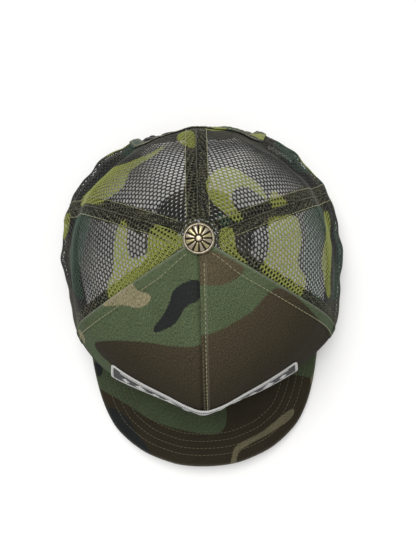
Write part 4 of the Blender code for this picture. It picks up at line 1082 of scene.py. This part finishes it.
# ================================================================ binding round the rear opening
def arch(t, out):
    """A point out mm outside the opening's outline, in the plane of x and z, at parameter t."""
    def at(t):
        c, w = np.cos(t), np.sin(t)
        return ARCH_HALF_W * np.sign(c) * np.abs(c) ** ARCH_POWER, ARCH_H * np.abs(w) ** ARCH_POWER
    x, z = at(t)
    x1, z1 = at(t - 0.004)
    x2, z2 = at(t + 0.004)
    dx, dz = x2 - x1, z2 - z1
    d = np.maximum(np.hypot(dx, dz), 1e-9)
    return x + dz / d * out, z - dx / d * out


def arch_path(n=240):
    """Parameters spaced evenly along the outline, from the right foot over the top to the left foot."""
    t = np.linspace(0.0005, np.pi - 0.0005, 6000)
    c, w = np.cos(t), np.sin(t)
    x, z = ARCH_HALF_W * np.sign(c) * np.abs(c) ** ARCH_POWER, ARCH_H * np.abs(w) ** ARCH_POWER
    keep = z > 1.6
    t, x, z = t[keep], x[keep], z[keep]
    d = np.concatenate([[0], np.cumsum(np.hypot(np.diff(x), np.diff(z)))])
    return np.interp(np.linspace(0, d[-1], n), d, t), np.linspace(0, d[-1], n)


ARCH_T, ARCH_D = arch_path()


def arch_binding():
    # (out, off) round the folded strip: outer leg, over the edge, inner leg, and back inside the fold
    loop = [(6.6, 1.25), (6.5, 1.62), (6.1, 1.82), (5.2, 1.66), (4.2, 1.88), (3.0, 1.92), (1.9, 1.66), (1.0, 1.85), (0.2, 1.7), (-0.35, 1.2), (-0.55, 0.5), (-0.4, -0.2), (0.0, -0.55), (1.2, -0.62), (3.0, -0.6), (5.4, -0.6), (5.9, -0.45), (5.9, -0.2), (4.0, -0.1), (1.0, -0.1), (0.25, 0.1), (0.2, 0.8), (0.7, 1.2), (3.0, 1.22)]
    loop = np.array(loop)
    n, m = len(ARCH_T), len(loop)
    T = np.repeat(ARCH_T[:, None], m, 1)
    O = np.repeat(loop[None, :, 0], n, 0)
    off = np.repeat(loop[None, :, 1], n, 0)
    pucker = 0.10 * np.sin(ARCH_D * 2 * np.pi / 4.3) + 0.06 * np.sin(ARCH_D * 2 * np.pi / 11.7)
    off = off + pucker[:, None] * (off > 1.5)
    x, z = arch(T, O)
    phi, s = back_place(x.ravel(), np.maximum(z, 0.9).ravel())
    co = crown(phi, s, off.ravel(), dphi=1.5)
    faces = [grid_faces(n, m, wrap=True), np.arange(m)[None, ::-1], (np.arange(m) + (n - 1) * m)[None]]
    u = np.repeat(ARCH_D[:, None], m, 1).ravel()
    v = O.ravel() + (off.ravel() < 0) * 20
    data = {"fabric": fabric(u, v), "lime": drift(u + v * 1.3, v + 3, 3.4, 15.0) - 4.3, "bottle": drift(u - v, v + 9, 1.4, 18.0) - 3.4, "earth": drift(u + v, v + 5, 6.4, 16.0)}
    ride(make("rear_arch_binding_fold", co, faces, BINDING, data=data), "camo_mesh", "rear_arch_binding")
    for out in (1.7, 5.2):
        x, z = arch(ARCH_T, np.full_like(ARCH_T, out))
        phi, s = back_place(x, z)
        stitches("arch_topstitch", crown(phi, s, 1.74, dphi=1.5), normal(phi, s, dphi=1.5), KHAKI, pitch=3.0, radius=0.23)


BINDING = camo_net("binding net cloth", 0.9)
arch_binding()

# ================================================================ visor
def visor_edge(t):
    n = len(VISOR_EDGE)
    a = np.abs(t) * (n - 1)
    p = hermite(np.arange(n), VISOR_EDGE, a)
    y = hermite(np.arange(n), VISOR_EDGE[:, 1], a, start=0.0)
    return np.sign(t + 1e-12) * p[..., 0], y


EDGE_T = np.linspace(-1, 1, 1601)
EDGE_XY = np.stack(visor_edge(EDGE_T), -1)


def edge_distance(x, y):
    out = np.empty(x.size)
    for k in range(0, x.size, 4000):
        q = np.stack([x.ravel()[k:k + 4000], y.ravel()[k:k + 4000]], -1)
        out[k:k + 4000] = np.sqrt(((q[:, None] - EDGE_XY[None]) ** 2).sum(-1).min(1))
    return out.reshape(x.shape)


VISOR_ROWS = (9.0, 14.2, 19.6, 25.0)


def visor_lift(x, y, off):
    n = unit(np.stack([2 * VISOR_SAG * x, np.full_like(x, -VISOR_DROOP), np.ones_like(x)], -1))
    return np.stack([x, y, visor_z(x, y)], -1) + n * np.asarray(off)[..., None]


def visor_cover():
    """Both covers as one sewn skin over the board, with a rounded edge and quilted stitch channels."""
    t = np.linspace(-1, 1, 301)
    v = np.concatenate([np.linspace(0, 0.955, 96), 1 - 0.045 * (1 - np.linspace(0, 1, 14)[1:]) ** 1.8])
    T, V = np.meshgrid(t, v, indexing="ij")
    phi = T * (SEAM_SIDE - 0.6)
    r = lookup(PROFILE_R, phi, 0.0) - 1.1
    x0, y0 = r * np.sin(np.radians(phi)), BUTTON_Y - r * np.cos(np.radians(phi))
    x1, y1 = visor_edge(T)
    X, Y = x0 + (x1 - x0) * V, y0 + (y1 - y0) * V
    d = edge_distance(X, Y)
    d[:, -1] = 0.0
    round_ = np.sqrt(np.clip(1 - (1 - np.clip(d / 2.1, 0, 1)) ** 2, 0, 1))
    groove = sum(bump(d, row, 0.62) for row in VISOR_ROWS)
    swell = 0.10 * np.sin(np.pi * np.clip((d - VISOR_ROWS[0]) / (VISOR_ROWS[1] - VISOR_ROWS[0]), 0, 10)) ** 2 * (d > 9) * (d < 26)
    pucker = 0.07 * np.sin(np.arctan2(X, -Y - 20) * 150) * bump(d, 1.5, 2.0)
    wave = 0.25 * np.sin(X / 17 + 0.6) * np.sin(Y / 13 + 1.0)
    skin = (2.1 * round_ + (-0.34 * groove + swell + pucker) * np.clip(d / 2.1, 0, 1))
    top = visor_lift(X, Y, skin + wave * np.clip(d / 6, 0, 1) * 0.5)
    bottom = visor_lift(X, Y, -skin + wave * np.clip(d / 6, 0, 1) * 0.5)
    co, faces = closed_sheet(top, bottom)
    # painted highlight along the visor's rounded edge
    data = {"fabric": both(np.stack([X, Y, 0 * X], -1)), "painted_edge_highlight": both(bump(d, 0.6, 1.1))}
    n = X.size
    under = {"green": -60 * np.ones(n), "tan": drift(X.ravel() + 31, Y.ravel(), 8.1, 26.0) - 6.5, "ink": drift(X.ravel(), Y.ravel() + 17, 4.4, 24.0) - 6.8, "brown": drift(X.ravel() - 9, Y.ravel(), 2.9, 30.0) + 0.5}
    green = inside_distance(BRIM_PRINT["green"], X.ravel(), Y.ravel())
    over = {"brown": -green, "tan": inside_distance(BRIM_PRINT["tan"], X.ravel(), Y.ravel()), "ink": inside_distance(BRIM_PRINT["ink"], X.ravel(), Y.ravel())}
    for key in ("brown", "tan", "ink"):
        data[key] = np.concatenate([over[key], under[key]])
    obj = make("visor_cover_sewn", co, faces, TWILL_VISOR_SHADED, data=data)
    ride(obj, "camo_twill", "visor_top_cover", "visor_under_cover")
    # the four rows of stitching follow the edge and stop under the crown
    for row in VISOR_ROWS:
        p = EDGE_XY
        tan = unit(np.gradient(p, axis=0))
        q = p + np.stack([tan[:, 1], -tan[:, 0]], -1) * -row
        q = q[edge_distance(q[:, 0], q[:, 1]) > row - 0.25]
        ang = np.degrees(np.arctan2(q[:, 0], BUTTON_Y - q[:, 1]))
        far = np.hypot(q[:, 0], q[:, 1] - BUTTON_Y) > lookup(PROFILE_R, ang, 0.0) + 0.3
        q = q[far]
        for sign, name in ((1, "visor_stitches_top"), (-1, "visor_stitches_under")):
            w = 0.25 * np.sin(q[:, 0] / 17 + 0.6) * np.sin(q[:, 1] / 13 + 1.0) * 0.5
            pts = visor_lift(q[:, 0], q[:, 1], sign * 1.84 + w)
            nrm = visor_lift(q[:, 0], q[:, 1], np.full(len(q), 1.0)) - visor_lift(q[:, 0], q[:, 1], np.zeros(len(q)))
            stitches(name, pts, nrm * sign, VISOR_THREAD, pitch=3.0, share=0.8, radius=0.25)


VISOR_THREAD = thread("visor thread", srgb(92, 86, 62))
visor_cover()
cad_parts["visor_board"].material_slots[0].material = BOARD

# ================================================================ patch
PATCH_H, PATCH_HALF_W, PATCH_Z, BORDER_W = 32.0, 70.0, 72.3, 2.4
PATCH_DROOP, PATCH_TILT = 11.0, 3.0


def height_at(phi, z):
    a, b = np.full_like(phi, -0.02), np.full_like(phi, 0.9)
    for _ in range(16):
        m = (a + b) / 2
        low = lookup(PROFILE_Z, phi, m) < z
        a, b = np.where(low, m, a), np.where(low, b, m)
    return (a + b) / 2


FRONT_PHI = np.arange(0, 54.1, 0.5)
_levels = np.arange(38.0, 96.0, 1.0)
_arcs = []
for z in _levels:
    s = height_at(FRONT_PHI, np.full_like(FRONT_PHI, z))
    p = base(FRONT_PHI, s)
    _arcs.append(np.concatenate([[0], np.cumsum(np.linalg.norm(np.diff(p, axis=0), axis=1))]))
ARCS = np.array(_arcs)


def patch_place(x, h):
    """x mm from the centre seam along the front and h mm above the patch's middle."""
    k = x / PATCH_HALF_W
    z = PATCH_Z + h * 0.965 - PATCH_DROOP * k * k - PATCH_TILT * k
    k = np.clip((z - _levels[0]), 0, len(_levels) - 1.001)
    i = k.astype(int)
    f = (k - i)[..., None]
    rows = ARCS[i] * (1 - f) + ARCS[i + 1] * f
    d = np.abs(x)
    j = np.clip((rows <= d[..., None]).sum(-1) - 1, 0, len(FRONT_PHI) - 2)
    d0 = np.take_along_axis(rows, j[..., None], -1)[..., 0]
    d1 = np.take_along_axis(rows, j[..., None] + 1, -1)[..., 0]
    phi = (FRONT_PHI[j] + 0.5 * (d - d0) / (d1 - d0)) * np.where(x < 0, -1, 1)
    return phi, height_at(phi, z)


def patch_point(x, h, off):
    """A point of the patch. Its stiff cloth rounds off the ridge at the centre seam."""
    x, h, off = np.broadcast_arrays(np.asarray(x, float), np.asarray(h, float), np.asarray(off, float))
    reach = 6.5 * np.exp(-((x / 11.0) ** 2))
    total = 0
    for d in np.linspace(-1, 1, 9):
        phi, s = patch_place(x + d * reach, h)
        total = total + crown(phi, s, off, dphi=3.0)
    p = total / 9
    p[..., 1] -= 0.9 * np.exp(-((x / 7.0) ** 2))
    return p


def patch():
    w, h = PATCH_HALF_W - 1.3, PATCH_H / 2 - 1.3
    x, y = np.linspace(-w, w, 300), np.linspace(-h, h, 48)
    Y, X = np.meshgrid(y, x, indexing="ij")
    rib = 0.05 * np.sin(X * 2 * np.pi / 1.15 + Y * 1.2)
    co, faces = closed_sheet(patch_point(X, Y, 1.75 + rib), patch_point(X, Y, 1.22))
    obj = make("patch_field_cloth", co, faces, PATCH, data={"fabric": both(np.stack([X, Y, 0 * X], -1))})
    ride(obj, "patch_field", "patch_field")

    # overlocked border: thread wound round the patch's edge, as fine slanted ribs
    c = 2.6
    W, H = PATCH_HALF_W - 1.0, PATCH_H / 2 - 1.0
    path = []
    for (cx, cy, a0) in ((W - c, H - c, 0), (-W + c, H - c, 90), (-W + c, -H + c, 180), (W - c, -H + c, 270)):
        for a in np.linspace(a0, a0 + 90, 13):
            path.append((cx + c * math.cos(math.radians(a)), cy + c * math.sin(math.radians(a)), 0))
    path = np.array(path + [path[0]])
    path = resample(path, 0.27)[:-1]
    n = len(path)
    d = np.arange(n) * 0.27
    tan = unit(np.roll(path, -1, 0) - np.roll(path, 1, 0))
    side = np.stack([tan[:, 1], -tan[:, 0]], -1)          # outwards
    m = 14
    a = np.arange(m) * 2 * np.pi / m
    rib = 1 + 0.13 * np.sin(d[:, None] * 2 * np.pi / 1.35 + np.cos(a)[None] * 1.6) + 0.02 * np.sin(d[:, None] * 1.7)
    across = 0.98 * np.cos(a)[None] * rib
    up = 0.6 * np.sign(np.sin(a))[None] * np.abs(np.sin(a))[None] ** 0.85 * rib
    X = path[:, 0:1] + side[:, 0:1] * across
    Y = path[:, 1:2] + side[:, 1:2] * across
    co = patch_point(X, Y, 1.72 + up).reshape(-1, 3)
    j = np.arange(m)
    last = (n - 1) * m
    faces = [grid_faces(n, m, wrap=True), np.stack([last + j, last + (j + 1) % m, (j + 1) % m, j], -1)]
    ride(make("patch_border_overlock", co, faces, WHITE), "patch_thread", "patch_border")

    # a plain band of satin-stitched lozenges and bars
    shapes = []
    for k in range(-5, 6):
        cx = k * 11.6
        big = k % 2 == 0
        rx, ry = (4.4, 9.0) if big else (2.9, 5.4)
        n1, n2 = 30, 9
        q = np.linspace(-1, 1, n1)
        g = np.linspace(-1, 1, n2)
        G, Q = np.meshgrid(g, q, indexing="ij")
        half = rx * (1 - np.abs(Q)) + 0.25
        X, Y = cx + G * half, Q * ry
        lift = 0.38 * np.sqrt(np.clip(1 - G**2, 0, 1)) + 0.06 * np.sin(Y * 2 * np.pi / 0.95)
        shapes.append(closed_sheet(patch_point(X, Y, 1.80 + lift), patch_point(X, Y, 1.5 + 0 * X)))
    for sy in (-1, 1):
        q = np.linspace(-1, 1, 200)
        g = np.linspace(-1, 1, 7)
        G, Q = np.meshgrid(g, q, indexing="ij")
        X, Y = Q * 62.5, sy * 11.3 + G * 0.6
        lift = 0.3 * np.sqrt(np.clip(1 - G**2, 0, 1)) + 0.05 * np.sin(X * 2 * np.pi / 1.0)
        shapes.append(closed_sheet(patch_point(X, Y, 1.80 + lift), patch_point(X, Y, 1.5 + 0 * X)))
    cos, fcs, start = [], [], 0
    for co, faces in shapes:
        cos.append(co)
        fcs += [f + start for f in faces]
        start += len(co)
    ride(make("patch_satin_lozenges", np.concatenate(cos), fcs, WHITE), "patch_thread")


patch()

# ================================================================ top button
def button():
    """A domed metal rosette: twelve petals between dark flutes, round a raised boss."""
    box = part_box("button_shell")
    z_low, z_high = box[0][2] / MM, box[1][2] / MM
    R = 9.2
    steps = 192
    r = np.concatenate([[0.001], np.linspace(0.25, 2.4, 12), np.linspace(2.6, 7.9, 34), np.linspace(8.05, R, 9)])
    a = np.arange(steps) * 2 * np.pi / steps
    Rr, A = np.meshgrid(r, a, indexing="ij")
    dome = z_low + 0.6 + (z_high - z_low - 0.9) * np.sqrt(np.clip(1 - (Rr / (R + 0.25)) ** 2, 0, 1))
    petal = np.abs(np.sin(A * 6))                       # 0 in a flute, 1 on a petal
    zone = step(2.0, 3.0, Rr) * (1 - step(7.0, 7.8, Rr))
    wide = 0.52 + 0.06 * (Rr - 2.4) / 5
    flute = np.exp(-((petal / wide) ** 2)) * zone
    rise = 0.42 * (petal ** 0.6) * zone
    boss = 0.85 * np.sqrt(np.clip(1 - (Rr / 1.75) ** 2, 0, 1))
    moat = bump(Rr, 2.15, 0.3)
    rim = 0.35 * bump(Rr, 8.45, 0.42)
    z = dome - 0.75 * flute + rise * 0.6 - 0.45 * moat + boss + rim - 0.25 * bump(Rr, 7.75, 0.25)
    z[0] = z[0].mean()
    top = np.stack([Rr * np.cos(A), BUTTON_Y + Rr * np.sin(A), np.minimum(z, z_high + 0.3)], -1)
    fold = []
    for rr, zz in ((R + 0.02, z_low + 0.75), (R - 0.05, z_low + 0.25), (R - 0.35, z_low), (8.2, z_low), (6.8, z_low + 1.9), (4.0, z_low + 2.6), (0.001, z_low + 2.75)):
        fold.append(np.stack([rr * np.cos(a), BUTTON_Y + rr * np.sin(a), np.full(steps, zz)], -1))
    rows = np.concatenate([top, np.array(fold)])
    n = len(rows)
    co = rows.reshape(-1, 3)
    faces = [grid_faces(n, steps, wrap=True), np.arange(steps)[None, ::-1], (np.arange(steps) + (n - 1) * steps)[None]]
    hollow = np.concatenate([np.clip(flute * 1.2 + moat * 1.1 + bump(Rr, 7.75, 0.3), 0, 1.3), np.full((len(fold), steps), 0.6)])
    which = (np.floor(A * 6 / np.pi).astype(int) % 2 == 0).astype(float)
    gold = np.concatenate([which * zone * (petal > 0.4), np.zeros((len(fold), steps))])
    obj = make("button_rosette", co, faces, METAL, sharp=50, data={"hollow": hollow.ravel(), "gold": gold.ravel()})
    ride(obj, "antique_metal", "button_shell")


button()
for node in ("button_post", "button_backing"):
    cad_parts[node].material_slots[0].material = METAL_PLAIN

# ================================================================ snap straps
STRAP_Z, STRAP_R, STRAP_ROOT_X, STRAP_END = 14.5, 300.0, 40.6, 27.0
PEG_PITCH = 9.5
ARC_Y0 = 119.804
ARC_CENTRE_Y = ARC_Y0 - math.sqrt(STRAP_R**2 - STRAP_ROOT_X**2)


def lathe(profile, at, segments=28):
    """A closed turned body along the strap's thickness, at (x, z)."""
    a = np.arange(segments) * 2 * np.pi / segments
    r, t = np.array(profile, float).T
    co = np.stack([at[0] + r[:, None] * np.cos(a), np.repeat(t[:, None], segments, 1), at[1] + r[:, None] * np.sin(a)], -1)
    n = len(r)
    faces = [grid_faces(n, segments, wrap=True), np.arange(segments)[None, ::-1], (np.arange(segments) + (n - 1) * segments)[None]]
    return co.reshape(-1, 3), faces


def join(parts):
    cos, fcs, start = [], [], 0
    for co, faces in parts:
        cos.append(co)
        fcs += [f + start for f in faces]
        start += len(co)
    return np.concatenate(cos), fcs


def outward_faces(obj):
    bm = bmesh.new()
    bm.from_mesh(obj.data)
    bmesh.ops.recalc_face_normals(bm, faces=bm.faces)
    bm.to_mesh(obj.data)
    bm.free()


def strap(side, sign, centre_off):
    """One snap strap with its sewn tab, moulded flat and then laid along the opening."""
    x = np.concatenate([-STRAP_END + 10 * (1 - np.cos(np.linspace(0.06, np.pi / 2, 14))), np.arange(-STRAP_END + 11.2, 57.0, 1.2), [57.2]])
    half = np.where(x < -STRAP_END + 10, np.sqrt(np.clip(100 - (10 - (x + STRAP_END)) ** 2, 0.2, 100)), 10.0)
    shape = [(0, 0), (0.12, 0.5), (0.45, 0.8), (1.5, 0.8), (1.9, 0.6)]
    loop = []
    for h in half:
        k = min(1.0, h / 4.0)
        up = [(-h + d * k, t) for d, t in shape] + [(0, 0.6)] + [(h - d * k, t) for d, t in shape[::-1]]
        down = [(h - 0.12 * k, -0.5), (h - 0.5 * k, -0.68), (0, -0.68), (-h + 0.5 * k, -0.68), (-h + 0.12 * k, -0.5)]
        loop.append(up + down)
    loop = np.array(loop)
    n, m = loop.shape[:2]
    co = np.stack([np.repeat(x[:, None], m, 1), loop[..., 1], loop[..., 0]], -1).reshape(-1, 3)
    faces = [grid_faces(n, m, wrap=True), np.arange(m)[None, ::-1], (np.arange(m) + (n - 1) * m)[None]]
    bar = make("strap_" + side, co, faces, PLASTIC, smooth=False)
    outward_faces(bar)
    if side == "left":
        places = [-((k - 4) * PEG_PITCH + PEG_PITCH / 2) for k in range(7)]
        body = join([lathe([(1.9, 0.2), (1.95, 0.62), (1.75, 0.85), (1.6, 1.5), (1.7, 2.2), (2.15, 2.75), (2.25, 3.0), (2.1, 3.3), (1.5, 3.55), (0.5, 3.65)], (px, 0)) for px in places])
        operation = "UNION"
    else:
        places = [(k - 2) * PEG_PITCH - PEG_PITCH / 2 for k in range(7)]
        body = join([lathe([(3.5, 1.2), (3.35, 0.7), (2.95, 0.4), (2.9, -0.45), (3.2, -0.75), (3.2, -1.2)], (px, 0)) for px in places])
        operation = "DIFFERENCE"
    tool = make("strap_tool", *body, PLASTIC, smooth=False)
    outward_faces(tool)
    mod = bar.modifiers.new("cut", "BOOLEAN")
    mod.operation, mod.object, mod.solver = operation, tool, "EXACT"
    if hasattr(mod, "use_self"):
        mod.use_self = False
    dg = bpy.context.evaluated_depsgraph_get()
    mesh = bpy.data.meshes.new_from_object(bar.evaluated_get(dg))
    bar.modifiers.clear()
    bar.data = mesh
    bpy.data.objects.remove(tool, do_unlink=True)
    co = np.array([v.co for v in mesh.vertices], float) / MM
    X, T, Z = co.T
    r = STRAP_R + centre_off + T
    ang = X / STRAP_R
    free = np.stack([r * np.sin(ang), ARC_CENTRE_Y + r * np.cos(ang), STRAP_Z + Z], -1)
    w = step(36.5, 43.3, X)
    phi, s = back_place(sign * np.maximum(X, 30.0), STRAP_Z + Z * (1 - 0.04 * step(44, 57, X)))
    sewn = crown(phi, s, -1.06 + T * 0.42, dphi=1.5) * (sign, 1, 1)
    place = free * (1 - w)[:, None] + sewn * w[:, None]
    if sign < 0:
        place[:, 0] *= -1
    for v, p in zip(mesh.vertices, place * MM):
        v.co = p
    outward_faces(bar)
    mesh.shade_smooth()
    mesh.set_sharp_from_angle(angle=math.radians(38))
    mesh.materials.clear()
    mesh.materials.append(PLASTIC)
    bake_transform(bar)
    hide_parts({"left": "strap_left_pegs", "right": "strap_right_holes"}[side], "strap_tab_" + side)


strap("right", 1, 0.7)
strap("left", -1, -1.2)

# each tab is held by two upright rows sewn through the net
for sign, label in ((1, "right"), (-1, "left")):
    for x in (50.0, 54.5):
        z = np.linspace(5.0, 24.0, 60)
        phi, s = back_place(np.full_like(z, sign * x), z)
        stitches("strap_tab_stitches", crown(phi, s, 0.86, dphi=1.5), normal(phi, s, dphi=1.5), KHAKI, pitch=2.6, radius=0.24, sink=0.2)


# ================================================================ sewing thread, one piece per seam family
for name, made in THREADS.items():
    obj = make(name, np.concatenate(made["co"]), [np.concatenate(made["faces"])], made["material"])
    ride(obj, "patch_thread" if made["material"] is WHITE else "seam_tape", body=made.get("body", BODY))

# ================================================================ floor, light and camera
stage = bpy.data.materials.new("pale floor")
stage.use_nodes = True
stage.node_tree.nodes["Principled BSDF"].inputs["Base Color"].default_value = (0.93, 0.93, 0.93, 1)
stage.node_tree.nodes["Principled BSDF"].inputs["Roughness"].default_value = 0.9
stage.node_tree.nodes["Principled BSDF"].inputs["Specular IOR Level"].default_value = 0.1
ring = np.arange(64) * 2 * np.pi / 64
floor = make("floor", np.stack([2600 * np.cos(ring), 2600 * np.sin(ring), 0 * ring - 0.05], -1), [np.arange(64)[None]], stage, smooth=False)

world = bpy.data.worlds.new("studio")
bpy.context.scene.world = world
world.use_nodes = True
world.node_tree.nodes["Background"].inputs["Color"].default_value = (1.0, 1.0, 1.0, 1)
world.node_tree.nodes["Background"].inputs["Strength"].default_value = 0.60


def lamp(name, power, soft, place, colour=(1, 1, 1)):
    """A far, wide studio light: even over the whole floor, with soft shadows."""
    data = bpy.data.lights.new(name, "SUN")
    data.angle = math.radians(soft)
    data.energy = power
    data.color = colour
    obj = bpy.data.objects.new(name, data)
    obj.location = place
    obj.rotation_euler = (-Vector(place)).to_track_quat("-Z", "Y").to_euler()
    bpy.context.scene.collection.objects.link(obj)


lamp("key", 2.1, 45, (-0.2, 0.55, 1.25), (1.0, 0.992, 0.97))

camera = bpy.data.objects.new("camera", bpy.data.cameras.new("camera"))
camera.data.sensor_fit = "VERTICAL"
camera.data.sensor_height = 24.0
camera.data.lens = 24.0 * 649.35 / 555
camera.data.clip_start, camera.data.clip_end = 0.01, 20.0
camera.location = (0.0045, 0.0157, 0.5)
camera.rotation_euler = (0, 0, math.radians(-2.0))
bpy.context.scene.collection.objects.link(camera)
bpy.context.scene.camera = camera
bpy.context.scene.view_settings.view_transform = "Standard"
